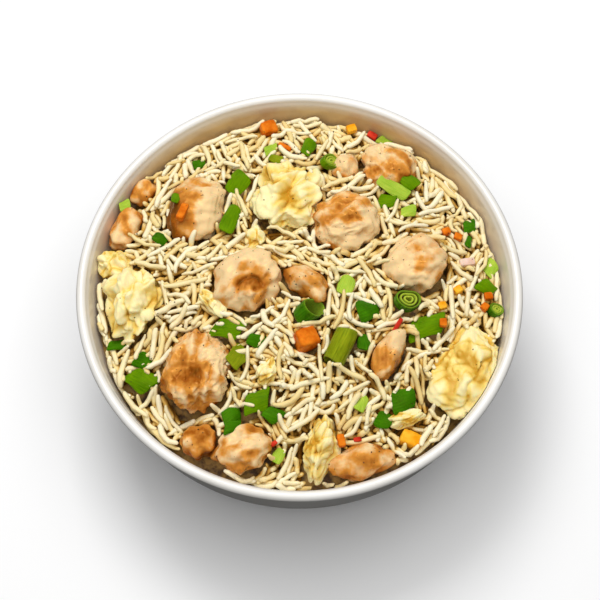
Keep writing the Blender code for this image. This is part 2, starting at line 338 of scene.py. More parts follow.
class Dresser:
    """One material's node tree, with its Principled shader."""

    def __init__(self, name: str) -> None:
        """Starts a material of that name.

        Args:
            name: the material's name.
        """
        self.material = bpy.data.materials.new(name)
        self.material.use_nodes = True
        self.tree = self.material.node_tree
        self.shader = self.tree.nodes["Principled BSDF"]

    def node(self, kind: str, settings: dict | None = None, links: dict | None = None) -> bpy.types.Node:
        """Adds a node.

        Args:
            kind: its Blender type, such as ShaderNodeMix.
            settings: values by property name, or by socket name or number.
            links: output sockets by the name or number of the input that they feed.

        Returns:
            The node.
        """
        made = self.tree.nodes.new(kind)
        for key, value in (settings or {}).items():
            if isinstance(key, str) and hasattr(made, key):
                setattr(made, key, value)
            else:
                made.inputs[key].default_value = value
        for key, output in (links or {}).items():
            self.tree.links.new(output, made.inputs[key])
        return made

    def feed(self, socket: str, output: Socket) -> None:
        """Links an output to one of the shader's sockets."""
        self.tree.links.new(output, self.shader.inputs[socket])

    def constants(self, **values: float) -> None:
        """Sets shader sockets that are the same all over, named with _ for a space."""
        for key, value in values.items():
            self.shader.inputs[key.replace("_", " ")].default_value = value

    def noise(self, size_mm: float, detail: float = 3.0, vector: Socket | None = None) -> Socket:
        """Cloudy noise with features of that size.

        Args:
            size_mm: the size of a feature, in millimetres.
            detail: number of finer layers.
            vector: coordinates in millimetres, in place of the Object ones, which are in metres.

        Returns:
            The noise, about 0 to 1.
        """
        scale = 1 / size_mm if vector else 1 / (size_mm * MM)
        source = vector or self.node("ShaderNodeTexCoord").outputs["Object"]
        made = self.node("ShaderNodeTexNoise", {"Scale": scale, "Detail": detail}, {"Vector": source})
        return made.outputs["Fac"]

    def mark(self, name: str, vector: bool = False) -> Socket:
        """The number or vector kept under that name at each point of the mesh."""
        made = self.node("ShaderNodeAttribute", {"attribute_name": name})
        return made.outputs["Vector" if vector else "Fac"]

    def ramp(self, factor: Socket, stops: tuple[tuple[float, str], ...]) -> Socket:
        """Colours by place along a factor from 0 to 1.

        Args:
            factor: where to read the ramp.
            stops: places from 0 to 1 and their hex colours.

        Returns:
            The colour.
        """
        made = self.node("ShaderNodeValToRGB", None, {"Fac": factor})
        elements = made.color_ramp.elements
        while len(elements) < len(stops):
            elements.new(0.5)
        for element, (place, code) in zip(elements, stops):
            element.position = place
            element.color = linear(code)
        return made.outputs["Color"]

    def scaled(self, factor: Socket, low: float, high: float,
               start: float = 0.0, end: float = 1.0) -> Socket:
        """A factor from start to end as a number from low to high, held at both ends."""
        settings = {"From Min": start, "From Max": end, "To Min": low, "To Max": high}
        return self.node("ShaderNodeMapRange", settings, {"Value": factor}).outputs["Result"]

    def mixed(self, factor: Socket, under: Socket,
              over: Socket) -> Socket:
        """One colour laid over another by a factor."""
        made = self.node("ShaderNodeMix", {"data_type": "RGBA"}, {0: factor, 6: under, 7: over})
        return made.outputs[2]

    def added(self, first: Socket, second: Socket) -> Socket:
        """The sum of two numbers."""
        return self.node("ShaderNodeMath", {"operation": "ADD"}, {0: first, 1: second}).outputs[0]

    def colour(self, code: str) -> Socket:
        """A plain colour to mix with others.

        Args:
            code: an sRGB hex colour.

        Returns:
            The colour.
        """
        made = self.node("ShaderNodeRGB")
        made.outputs[0].default_value = linear(code)
        return made.outputs[0]

    def glow(self, weight: float, depth_mm: float) -> None:
        """Lets light sink that far into the piece, as it does into moist food."""
        self.constants(Subsurface_Weight=weight, Subsurface_Scale=depth_mm * MM)

    def tint_shine(self, code: str) -> None:
        """Colours the shine, as a film of fat or sauce does."""
        self.shader.inputs["Specular Tint"].default_value = linear(code)

    def bump(self, height: Socket, depth_mm: float, strength: float = 1.0) -> None:
        """Feeds the shader's normal with a relief.

        Args:
            height: the relief, 0 to 1.
            depth_mm: its depth in millimetres.
            strength: how much of it shows, 0 to 1.
        """
        settings = {"Strength": strength, "Distance": depth_mm * MM}
        made = self.node("ShaderNodeBump", settings, {"Height": height})
        self.feed("Normal", made.outputs["Normal"])


@dataclass(frozen=True)
class GlazedStoneware:
    """White stoneware, thrown and glazed: pale and clean, with one soft broad shine."""

    body: str = "#F3F1EC"
    shade: str = "#ECE8E0"
    # Colour and strength of the warm painted shade on the inner wall.
    painted_shade_colour: str = "#D9B470"
    most_painted_shade: float = 0.85
    full_painted_shade: float = 0.72
    roughness: tuple[float, float] = (0.16, 0.24)
    cloud_size: float = 35.7
    ripple_size: float = 11.1
    ripple_depth: float = 0.04

    def material(self) -> bpy.types.Material:
        """The glaze, faintly cloudy and rippled from the kiln, with warm painted shade low on the inner wall.

        Returns:
            The glaze's material.
        """
        dress = Dresser("glazed_stoneware")
        cloud = dress.noise(self.cloud_size)
        glaze = dress.ramp(cloud, ((0.35, self.shade), (0.65, self.body)))
        # Painted shade: the inner wall turns warm tan with depth, most on the far side, standing in for its
        # shade and the food's bounce.
        wall_painted_shade = dress.scaled(dress.mark("wall_painted_shade"), 0.0, self.most_painted_shade, 0.0, self.full_painted_shade)
        dress.feed("Base Color", dress.mixed(wall_painted_shade, glaze, dress.colour(self.painted_shade_colour)))
        dress.feed("Roughness", dress.scaled(cloud, *self.roughness))
        dress.bump(dress.noise(self.ripple_size, 1.0), self.ripple_depth, 0.5)
        dress.constants(IOR=1.5)
        return dress.material


@dataclass(frozen=True)
class CookedRice:
    """Long grain rice, steamed and tossed in oil and soy: cream to straw, softly moist."""

    pale: str = "#FCF0CC"
    cream: str = "#F4DEA0"
    straw: str = "#DAAE56"
    # The darkest colour, reached only through painted shade deep between the grains.
    painted_shade_brown: str = "#8C5C14"
    sauce: str = "#FFDC9A"
    roughness: tuple[float, float] = (0.30, 0.50)
    skin_size: float = 2.381
    skin_depth: float = 0.05
    stain_size: float = 8.333
    most_stain: float = 0.4
    glow_depth: float = 1.5
    glow_spread: tuple[float, float, float] = (1.0, 0.8, 0.55)

    def material(self) -> bpy.types.Material:
        """Each grain has its own tone, with painted shade darkening it further down, and a slightly uneven
        gloss.

        Returns:
            The rice's material.
        """
        dress = Dresser("cooked_rice")
        stops = ((0.06, self.pale), (0.3, self.cream), (0.6, self.straw), (1.0, self.painted_shade_brown))
        grain = dress.ramp(dress.mark("tone_and_painted_shade"), stops)
        cloud = dress.noise(self.skin_size, 2.0)
        stain = dress.scaled(dress.noise(self.stain_size), 0.0, self.most_stain, 0.55, 0.8)
        dress.feed("Base Color", dress.mixed(stain, grain, dress.colour(self.straw)))
        dress.feed("Roughness", dress.scaled(cloud, *self.roughness, 0.3, 0.7))
        dress.bump(cloud, self.skin_depth, 0.5)
        dress.constants(IOR=1.4, Specular_IOR_Level=0.35)
        dress.glow(0.2, self.glow_depth)
        dress.shader.inputs["Subsurface Radius"].default_value = self.glow_spread
        dress.tint_shine(self.sauce)
        return dress.material


@dataclass(frozen=True)
class PaintedShadeRice:
    """The rice far down between the grains: the same food, painted dark brown for the shade there."""

    pit: str = "#5C3D0C"
    ledge: str = "#BC9244"
    lump_size: float = 3.03
    lump_depth: float = 0.6

    def material(self) -> bpy.types.Material:
        """Brown with lighter lumps of the size of a grain.

        Returns:
            The deep rice's material.
        """
        dress = Dresser("painted_shade_rice")
        lump = dress.noise(self.lump_size)
        # Painted shade: dark browns standing in for the shadow between the grains.
        dress.feed("Base Color", dress.ramp(lump, ((0.36, self.pit), (0.58, self.ledge))))
        dress.bump(lump, self.lump_depth)
        dress.constants(Roughness=0.55)
        return dress.material


@dataclass(frozen=True)
class CookedChicken:
    """Chicken, cut up and fried in a pan: pale moist flesh, golden to brown sides darkened low down by
    painted shade, fat on it.
    """

    flesh: str = "#F1D09A"
    golden: str = "#DA923C"
    brown: str = "#A25812"
    crust: str = "#74400A"
    pepper: str = "#3E2410"
    fat: str = "#FFC26A"
    roughness: tuple[float, float] = (0.12, 0.4)
    mottle_size: float = 3.846
    mottle_share: float = 0.2
    mottle_depth: float = 0.2
    blotch_size: float = 9.091
    blotch_share: float = 0.14
    gloss_size: float = 6.25
    speck_size: float = 1.25

    def material(self) -> bpy.types.Material:
        """Browning and painted shade follow the mark on the mesh, broken up by noise, and fat makes it shine.

        Returns:
            The chicken's material.
        """
        dress = Dresser("cooked_chicken")
        mottle = dress.noise(self.mottle_size, 4.0)
        fine = dress.scaled(mottle, -self.mottle_share, self.mottle_share, 0.3, 0.7)
        broad = dress.scaled(dress.noise(self.blotch_size), -self.blotch_share, self.blotch_share, 0.35, 0.65)
        seared_and_painted_shade = dress.added(dress.mark("sear_and_painted_shade"), dress.added(fine, broad))
        stops = ((0.1, self.flesh), (0.42, self.golden), (0.78, self.brown), (1.0, self.crust))
        speck = dress.scaled(dress.noise(self.speck_size, 1.0), 0.0, 0.8, 0.73, 0.77)
        skin = dress.mixed(speck, dress.ramp(seared_and_painted_shade, stops), dress.colour(self.pepper))
        dress.feed("Base Color", skin)
        dress.feed("Roughness", dress.scaled(dress.noise(self.gloss_size), *self.roughness, 0.35, 0.65))
        dress.bump(mottle, self.mottle_depth, 0.7)
        dress.constants(IOR=1.45)
        dress.glow(0.15, 2.0)
        dress.tint_shine(self.fat)
        return dress.material


@dataclass(frozen=True)
class ScrambledEgg:
    """Soft scrambled egg: pale lemon curds, painted whiter on their crowns and deeper in the creases, where
    light and shade fall.
    """

    # The crown colour is painted light, the crease colour painted shade.
    crown_painted_light: str = "#FDEEB2"
    lemon: str = "#F5D470"
    crease: str = "#D09A2C"
    roughness: tuple[float, float] = (0.24, 0.5)
    cloud_size: float = 4.762
    cloud_share: float = 0.45
    pore_size: float = 2.381
    pore_depth: float = 0.16

    def material(self) -> bpy.types.Material:
        """Colour follows the height of the curd as painted light and shade, and the gloss is soft and patchy.

        Returns:
            The egg's material.
        """
        dress = Dresser("scrambled_egg")
        cloud = dress.noise(self.cloud_size)
        height = dress.added(dress.mark("crown_painted_light"), dress.scaled(cloud, -self.cloud_share, self.cloud_share))
        stops = ((0.08, self.crease), (0.42, self.lemon), (0.8, self.crown_painted_light))
        dress.feed("Base Color", dress.ramp(height, stops))
        dress.feed("Roughness", dress.scaled(cloud, *self.roughness, 0.35, 0.65))
        dress.bump(dress.noise(self.pore_size), self.pore_depth, 0.7)
        dress.constants(IOR=1.4)
        dress.glow(0.15, 2.0)
        dress.tint_shine(self.crown_painted_light)
        return dress.material


class Green(Enum):
    """The greens of a spring onion, from its leaf to its pale stem: the vein and the skin."""

    DARK = ("#1E4800", "#4A8C08")
    BRIGHT = ("#306000", "#769E04")
    OLIVE = ("#566804", "#9EA81A")
    LIGHT = ("#7CA81C", "#CBDE58")


@dataclass(frozen=True)
class SpringOnionSkin:
    """A wet spring onion skin: fine veins along the stem under a thin gloss."""

    shade: Green
    heart: str = "#B4C440"
    roughness: tuple[float, float] = (0.2, 0.42)
    vein_size: float = 0.4545
    vein_depth: float = 0.2
    patch_size: float = 6.667

    def material(self) -> bpy.types.Material:
        """Veins are noise stretched along the stem, on the coordinates of the straight stem.

        Returns:
            The skin's material.
        """
        dress = Dresser("spring_onion_" + self.shade.name.lower())
        deep, light = self.shade.value
        veins = dress.noise(self.vein_size, 3.0, dress.mark("skin", vector=True))
        patch = dress.noise(self.patch_size, 2.0)
        blend = dress.added(dress.scaled(veins, 0.0, 0.6), dress.scaled(patch, 0.0, 0.4))
        green = dress.ramp(blend, ((0.3, deep), (0.72, light)))
        dress.feed("Base Color", dress.mixed(dress.mark("pale"), green, dress.colour(self.heart)))
        dress.feed("Roughness", dress.scaled(patch, *self.roughness, 0.35, 0.65))
        dress.bump(veins, self.vein_depth, 0.8)
        dress.constants(IOR=1.4, Specular_IOR_Level=0.3)
        dress.glow(0.1, 1.5)
        dress.tint_shine(self.heart)
        return dress.material


@dataclass(frozen=True)
class CookedVegetable:
    """Diced carrot or pepper: one clear colour, cloudy at the heart and moist outside."""

    name: str
    deep: str
    light: str
    roughness: tuple[float, float] = (0.28, 0.5)
    blotch_size: float = 3.333
    grain_size: float = 1.111
    grain_depth: float = 0.05

    def material(self) -> bpy.types.Material:
        """Soft blotches and a faint grain.

        Returns:
            The vegetable's material.
        """
        dress = Dresser(self.name)
        blotch = dress.noise(self.blotch_size)
        dress.feed("Base Color", dress.ramp(blotch, ((0.35, self.deep), (0.65, self.light))))
        dress.feed("Roughness", dress.scaled(blotch, *self.roughness))
        dress.bump(dress.noise(self.grain_size, 2.0), self.grain_depth, 0.5)
        dress.constants(IOR=1.42)
        dress.glow(0.15, 1.5)
        dress.tint_shine(self.light)
        return dress.material


# ---------------------------------------------------------------- the bowl


@dataclass
class Bowl:
    """The turned stoneware bowl. Radius and height come from the frame, in millimetres."""

    radius: float
    height: float
    wall: float = 3.7
    lean: float = math.radians(12.5)
    knee: float = 33.0
    foot_radius: float = 42.0
    foot_height: float = 5.5
    foot_width: float = 4.5
    floor_radius: float = 34.0
    floor_height: float = 9.5
    knee_arm: float = 0.62
    foot_arm: float = 0.45
    foot_arm_rise: float = 0.02
    wall_points: int = 16
    curve_points: int = 18
    # Painted shade on the inner wall: the depth where it is full, and its share away from the far side.
    wall_painted_shade_depth: float = 8.0
    wall_painted_shade_all_round: float = 0.08
    sides: int = 192

    def side(self, shift: float, end_radius: float, end_height: float) -> Array:
        """Down the leaning wall to the knee, then a cubic Bezier curve in to the foot.

        Args:
            shift: how far inside the outer face the line lies.
            end_radius: radius at its lower end.
            end_height: height of its lower end.

        Returns:
            Points of (radius, height), from the lip down.
        """
        top = self.radius - shift / math.cos(self.lean)
        wall_heights = np.linspace(self.height - 0.5 * self.wall - 0.6, self.knee, self.wall_points)
        wall = np.stack([top - (self.height - wall_heights) * math.tan(self.lean), wall_heights], axis=1)
        knee, reach = wall[-1], wall[-1, 0] - end_radius
        arms = [
            knee,
            knee - self.knee_arm * reach * np.array([math.sin(self.lean), math.cos(self.lean)]),
            np.array([end_radius + self.foot_arm * reach, end_height + self.foot_arm_rise * reach]),
            np.array([end_radius, end_height]),
        ]
        t = np.linspace(0, 1, self.curve_points + 1)[1:, None]
        weights = ((1 - t) ** 3, 3 * t * (1 - t) ** 2, 3 * t ** 2 * (1 - t), t ** 3)
        return np.concatenate([wall, sum(w * arm for w, arm in zip(weights, arms))])

    def inner_radius(self, height: Array) -> Array:
        """Radius of the inside of the leaning wall at a height."""
        top = self.radius - self.wall / math.cos(self.lean)
        return top - (self.height - height) * math.tan(self.lean)

    def lip(self) -> Array:
        """The half-round lip, from the inner side over the top to the outer side.

        Returns:
            Points as (radius, height).
        """
        angle = np.linspace(math.pi, 0, 13)
        middle = self.radius - 0.5 * self.wall / math.cos(self.lean)
        return np.stack([
            middle + 0.5 * self.wall * np.cos(angle),
            self.height - 0.5 * self.wall + 0.5 * self.wall * np.sin(angle),
        ], axis=1)

    def foot(self) -> Array:
        """The foot ring's rounded outline, and the shallow hollow of the underside inside it.

        Returns:
            Points as (radius, height), from the outside in.
        """
        edge = self.foot_radius
        inside = edge - self.foot_width
        return np.array([
            (edge - 0.1, 4.4), (edge - 0.4, 0.5), (edge - 0.9, 0.0), (inside + 0.5, 0.0),
            (inside, 0.4), (inside - 0.6, 2.6), (inside - 1.6, 3.2), (0.5 * inside, 3.7),
        ])

    def wall_painted_shade(self, points: Array) -> Array:
        """How much warm painted shade lies on the wall: more with depth, and most on the far side.

        A point counts as inside when it lies within the line of the leaning wall, so that below
        the knee, where the outside curves in under that line, the outside takes some as well.

        Args:
            points: the bowl's points, as (points, 3).

        Returns:
            A share from 0 to 1 for each point, 0 on the outside above the knee.
        """
        height = points[:, 2]
        inside = np.hypot(points[:, 0], points[:, 1]) < self.inner_radius(height) + 0.5
        inside &= height > self.floor_height + 1.0
        depth = np.clip((self.height - height) / self.wall_painted_shade_depth, 0, 1)
        far = np.clip(points[:, 1] / self.radius, 0, 1)
        share = self.wall_painted_shade_all_round + (1 - self.wall_painted_shade_all_round) * far
        return np.where(inside, depth * share, 0.0)

    def build(self) -> bpy.types.Object:
        """Turns the profile: floor, inner side, half-round lip, outer side, foot ring, underside.

        Returns:
            The bowl's object.
        """
        inner = self.side(self.wall, self.floor_radius, self.floor_height + 0.4)
        outer = self.side(0.0, self.foot_radius, self.foot_height)
        floor = np.array([(0.0, self.floor_height), (0.5 * self.floor_radius, self.floor_height + 0.1)])
        underside = np.array([(0.0, 3.8)])
        profile = np.concatenate([floor, inner[::-1], self.lip(), outer, self.foot(), underside])
        surface = turned(profile, self.sides)
        surface.marks = {"wall_painted_shade": self.wall_painted_shade(surface.points)}
        piece = make_object("bowl_glazed", surface, GlazedStoneware().material())
        declare(piece, "bowl", "bowl")
        return piece


# ---------------------------------------------------------------- the heap


@dataclass(frozen=True)
class Dip:
    """A dark hollow in the heap: its middle, radius and depth in millimetres."""

    x: float
    y: float
    radius: float
    depth: float


@dataclass
class Heap:
    """The ground that grains are laid on: a height for each cell of a square grid."""

    bowl: Bowl
    drop: float = 11.0
    rise: float = 12.5
    core_depth: float = 5.2
    roll: float = 0.9
    roll_size: float = 26.0
    core_gap: float = 0.3
    core_rings: int = 43
    core_sides: int = 144
    core_lump: float = 0.5
    core_lump_size: float = 4.0
    cell: float = 0.5
    dips: tuple[Dip, ...] = (
        Dip(-56, -43, 8, 2.4), Dip(-43, -50, 9, 2.6), Dip(-30, -66, 8, 2.2), Dip(-9, -70, 8, 1.8),
        Dip(7, -70, 6, 1.6), Dip(55, -50, 8, 2.2), Dip(-42, -20, 6, 2.0), Dip(-33, 18, 6, 2.0),
        Dip(6, 19, 6, 1.8), Dip(-24, -50, 6, 1.8), Dip(45, -40, 6, 1.6), Dip(60, 36, 6, 1.6),
    )

    def __post_init__(self) -> None:
        """Lays the grid out over the bowl, at the height of the core."""
        self.edge = float(self.bowl.inner_radius(self.bowl.height - self.drop))
        self.count = int(2 * self.bowl.radius / self.cell) + 1
        axis = np.arange(self.count) * self.cell - self.bowl.radius
        x, y = np.meshgrid(axis, axis, indexing="ij")
        self.ground = self.target(x, y) - self.core_depth
        self.covered = np.zeros_like(self.ground, dtype=bool)

    def target(self, x: Array, y: Array) -> Array:
        """Height of the finished heap: a dome, gently rolling, less its dips.

        Args:
            x: places across the bowl.
            y: places along it.

        Returns:
            A height for each place.
        """
        part = np.minimum(1.0, np.hypot(x, y) / self.edge)
        height = self.bowl.height - self.drop + self.rise * (1 - part ** 2)
        flat = np.stack([x, y, np.zeros_like(x)], axis=-1)
        height = height + self.roll * waves(flat, self.roll_size, 4)
        for dip in self.dips:
            height = height - dip.depth * np.exp(-((x - dip.x) ** 2 + (y - dip.y) ** 2) / dip.radius ** 2)
        return height

    def cells(self, x: Array, y: Array) -> tuple[Array, Array]:
        """Row and column of the cells that hold these points.

        Args:
            x: places across the bowl.
            y: places along it.

        Returns:
            Two whole numbers for each place.
        """
        row = np.clip(np.rint((x + self.bowl.radius) / self.cell).astype(int), 0, self.count - 1)
        column = np.clip(np.rint((y + self.bowl.radius) / self.cell).astype(int), 0, self.count - 1)
        return row, column

    def stamp(self, points: Array, cover: bool = False) -> None:
        """Raises the ground to these points where they are higher, and may mark it covered.

        Args:
            points: points of what lies there, as (points, 3).
            cover: whether grains should stay off it.
        """
        row, column = self.cells(points[:, 0], points[:, 1])
        before = self.ground.copy() if cover else None
        np.maximum.at(self.ground, (row, column), points[:, 2])
        if cover:
            self.covered |= self.ground > before + 0.01

    def keep_clear(self, middle: Array, reach: float) -> None:
        """Marks the cells within reach of a point as covered, so that grains stay off them."""
        axis = np.arange(self.count) * self.cell - self.bowl.radius
        self.covered |= np.hypot(axis[:, None] - middle[0], axis[None, :] - middle[1]) < reach

    def rest_height(self, x: float, y: float, reach: float, share: float = 75.0) -> float:
        """The height that most of the ground within reach of a point stays under.

        Args:
            x: place across the bowl.
            y: place along it.
            reach: how far round to look.
            share: the percentage of the ground to stay over.

        Returns:
            The height.
        """
        offset = np.linspace(-reach, reach, 7)
        dx, dy = np.meshgrid(offset, offset)
        row, column = self.cells(x + dx.ravel(), y + dy.ravel())
        return float(np.percentile(self.ground[row, column], share))

    def build_core(self) -> bpy.types.Object:
        """The core under the grains, brown with painted shade: the dome's top, closed by the inside of the
        bowl.

        Returns:
            The core's object.
        """
        radii = np.linspace(0, self.edge - self.core_gap, self.core_rings + 1)[1:]
        turn = 2 * np.pi * np.arange(self.core_sides) / self.core_sides
        x, y = radii[:, None] * np.cos(turn), radii[:, None] * np.sin(turn)
        top = np.stack([x, y, self.target(x, y) - self.core_depth - 0.5], axis=-1)
        top[..., 2] += self.core_lump * waves(top, self.core_lump_size, 11)
        bowl = self.bowl
        under = bowl.side(bowl.wall + self.core_gap, bowl.floor_radius, bowl.floor_height + 0.8)
        low = under[under[:, 1] < top[-1, :, 2].min() - 1.0]
        side = np.stack([
            low[:, 0, None] * np.cos(turn),
            low[:, 0, None] * np.sin(turn),
            np.repeat(low[:, 1, None], len(turn), axis=1),
        ], axis=-1)
        middle = float(self.target(np.zeros(1), np.zeros(1))[0]) - self.core_depth
        grid = np.concatenate([top, side])
        surface = capsule(grid, np.array([0, 0, middle]), np.array([0, 0, self.bowl.floor_height + 0.4]))
        piece = make_object("rice_core", surface, PaintedShadeRice().material())
        declare(piece, "rice", "rice")
        return piece


# A score that no place for a grain can make up for, and the depth at which a grain has its deepest painted
# shade.
REFUSED = 9.0
DEEPEST_PAINTED_SHADE = 4.5


@dataclass
class GrainPile:
    """Long cooked grains, laid one by one so that each rests across those under it.

    Lengths are in millimetres, slopes are rise over run and turns are in radians. Stations are
    places along a grain from 0 to 1, and fullness is its thickness there.
    """

    heap: Heap
    radius: float = 1.02
    length: float = 12.8
    sides: int = 6
    stations: tuple[float, ...] = (0.005, 0.04, 0.13, 0.3, 0.5, 0.7, 0.87, 0.96, 0.995)
    fullness: tuple[float, ...] = (0.45, 0.73, 0.92, 1.01, 1.0, 0.97, 0.88, 0.67, 0.4)
    bundles: int = 300
    batch: int = 50
    tries: int = 7
    limpness: float = 0.72
    most_sag: float = 3.2
    bedding: float = 0.5
    painted_shade_depth: float = 2.3
    length_spread: float = 2.2
    shortest: float = 6.0
    longest: float = 17.0
    broken_share: float = 0.12
    hooked_share: float = 0.1
    line_points: int = 13
    bundle_share: float = 0.6
    bundle_spread: float = 0.3
    wall_reach: float = 5.0
    wall_spread: float = 0.35
    wall_gap: float = 0.2
    steepest: float = 0.75
    standing_slope: tuple[float, float] = (0.3, 0.75)
    standing_lift: float = 0.9
    wobble: float = 0.11
    unevenness: float = 0.05
    lopsidedness: float = 0.2
    thickness: tuple[float, float] = (0.76, 1.16)
    own_tone: float = 0.46
    tone_skew: tuple[float, float] = (1.3, 2.6)
    deep_painted_shade: float = 0.14
    buried_painted_shade: float = 0.78
    seed: int = 17

    def __post_init__(self) -> None:
        """Starts with no grain laid."""
        self.rng = np.random.default_rng(self.seed)
        self.lines: list[Array] = []
        self.sizes: list[float] = []
        self.tones_and_painted_shades: list[float] = []
        axis = np.arange(self.heap.count) * self.heap.cell - self.heap.bowl.radius
        self.finished = self.heap.target(*np.meshgrid(axis, axis, indexing="ij"))
        self.weigh(0.0)
        away = (self.heap.edge - 4.0) * np.sqrt(self.rng.random(self.bundles))
        turn = self.rng.uniform(0, 2 * np.pi, self.bundles)
        self.bundle_places = np.stack([away * np.cos(turn), away * np.sin(turn)], axis=1)
        self.bundle_turns = self.rng.uniform(0, 2 * np.pi, self.bundles)

    def centrelines(self, count: int) -> tuple[Array, Array]:
        """Flat arcs at random places, turned at random, with ends a little apart in height.

        Args:
            count: number of arcs.

        Returns:
            Points as (count, 13, 2), and the distance along each, from its middle.
        """
        rng = self.rng
        length = np.clip(rng.normal(self.length, self.length_spread, count), self.shortest, self.longest)
        broken = rng.random(count) < self.broken_share
        length = np.where(broken, length * rng.uniform(0.45, 0.7, count), length)
        hooked = rng.random(count) < self.hooked_share
        bend = np.abs(rng.normal(0, 0.7, count)) + np.where(hooked, rng.uniform(0.6, 1.6, count), 0)
        bend = np.maximum(bend, 0.05) * rng.choice([-1, 1], count)
        along = np.linspace(-0.5, 0.5, self.line_points)[None, :] * length[:, None]
        angle = along / length[:, None] * bend[:, None]
        curl = (length / bend)[:, None]
        x, y = curl * np.sin(angle), curl * (1 - np.cos(angle))
        y = y - y.mean(axis=1, keepdims=True)
        place, turn = self.places(count)
        flat = np.stack([
            x * np.cos(turn) - y * np.sin(turn) + place[:, :1],
            x * np.sin(turn) + y * np.cos(turn) + place[:, 1:],
        ], axis=-1)
        return flat, along

    def weigh(self, ceiling: float) -> None:
        """Shares out the places for coming grains: the deeper a spot lies, the more it gets.

        Args:
            ceiling: how far grains may stand over the finished heap.
        """
        heap = self.heap
        axis = np.arange(heap.count) * heap.cell - heap.bowl.radius
        x, y = np.meshgrid(axis, axis, indexing="ij")
        depth = np.clip(self.finished + ceiling - heap.ground, 0, None) ** 2
        open_spot = (np.hypot(x, y) < heap.edge - 1.5) & ~heap.covered
        self.shares = np.cumsum(np.where(open_spot, depth + 0.02, 0.0).ravel())

    def places(self, count: int) -> tuple[Array, Array]:
        """Middles and turns: as in the nearest bundle, loose, or along the wall where that is near.

        Grains cook and fall side by side, so that many lie nearly parallel to their neighbours.

        Args:
            count: number of grains.

        Returns:
            Middles as (count, 2), and turns as (count, 1).
        """
        rng = self.rng
        cell = np.searchsorted(self.shares, rng.random(count) * self.shares[-1])
        row, column = np.unravel_index(np.minimum(cell, len(self.shares) - 1), self.heap.ground.shape)
        place = np.stack([row, column], axis=1) * self.heap.cell - self.heap.bowl.radius
        gaps = np.linalg.norm(place[:, None] - self.bundle_places[None], axis=-1)
        own = self.bundle_turns[gaps.argmin(axis=1)] + rng.normal(0, self.bundle_spread, count)
        turn = np.where(rng.random(count) < self.bundle_share, own, rng.uniform(0, 2 * np.pi, count))
        near_wall = np.hypot(place[:, 0], place[:, 1]) > self.heap.edge - self.wall_reach
        along_wall = np.arctan2(place[:, 1], place[:, 0]) + 0.5 * math.pi
        along_wall = along_wall + rng.normal(0, self.wall_spread, count)
        return place, np.where(near_wall, along_wall, turn)[:, None]

    def support(self, flat: Array) -> Array:
        """Height of the ground under each point of the arcs, at its highest across the grain.

        Args:
            flat: arcs as (count, points, 2).

        Returns:
            Heights as (count, points).
        """
        tangent = np.gradient(flat, axis=1)
        tangent /= np.linalg.norm(tangent, axis=-1, keepdims=True) + 1e-9
        normal = np.stack([-tangent[..., 1], tangent[..., 0]], axis=-1)
        heights = []
        for shift, lower in ((-0.6, 0.25), (0.0, 0.0), (0.6, 0.25)):
            side = flat + shift * self.radius * normal
            row, column = self.heap.cells(side[..., 0], side[..., 1])
            heights.append(self.heap.ground[row, column] - lower * self.radius)
        return np.max(heights, axis=0)

    def settle(self, along: Array, ground: Array) -> Array:
        """Rests straight lines on the ground: on the two points, one each side, that hold it highest.

        Args:
            along: distance along each line, from its middle.
            ground: height of the ground under each point.

        Returns:
            Heights of each line's points, after the grain has sagged a little into gaps.
        """
        half = along.shape[1] // 2
        left, right = along[:, :half, None], along[:, None, half + 1:]
        low, high = ground[:, :half, None], ground[:, None, half + 1:]
        slopes = (high - low) / (right - left)
        crossing = (low * right - high * left) / (right - left)
        flat_index = crossing.reshape(len(along), -1).argmax(axis=1)
        slope = slopes.reshape(len(along), -1)[np.arange(len(along)), flat_index]
        slope = np.clip(slope, -self.steepest, self.steepest)[:, None]
        level = (ground - slope * along).max(axis=1, keepdims=True)
        line = level + slope * along
        sag = np.minimum(self.limpness * (line - ground), self.most_sag)
        kernel = np.array([0.25, 0.5, 0.25])
        padded = np.pad(sag, ((0, 0), (1, 1)), mode="edge")
        sag = kernel[0] * padded[:, :-2] + kernel[1] * padded[:, 1:-1] + kernel[2] * padded[:, 2:]
        return line - sag

    def lay(self, wanted: int, ceiling: float, cover_share: float) -> int:
        """Lays grains until as many lie there, or too few places are left.

        Args:
            wanted: number of grains.
            ceiling: how far a grain's middle may stand over the finished heap.
            cover_share: the share of a grain that may lie on a topping.

        Returns:
            Number of grains laid.
        """
        laid = 0
        for attempt in range(wanted * 3):
            if laid >= wanted:
                break
            if attempt % self.batch == 0:
                self.weigh(ceiling)
            flat, along = self.centrelines(self.tries)
            ground = self.support(flat)
            heights = self.settle(along, ground)
            row, column = self.heap.cells(flat[..., 0], flat[..., 1])
            covered = self.heap.covered[row, column].mean(axis=1)
            room = self.heap.bowl.inner_radius(heights) - self.radius - self.wall_gap
            outside = (np.hypot(flat[..., 0], flat[..., 1]) > room).any(axis=1)
            middle = along.shape[1] // 2
            over = heights[:, middle] - self.heap.target(flat[:, middle, 0], flat[:, middle, 1])
            score = over + REFUSED * outside + REFUSED * (covered > cover_share)
            best = int(score.argmin())
            if score[best] > ceiling:
                continue
            line = self.shortened(np.column_stack([flat[best], heights[best]]), along[best])
            self.keep(line, -over[best] / DEEPEST_PAINTED_SHADE)
            laid += 1
        return laid

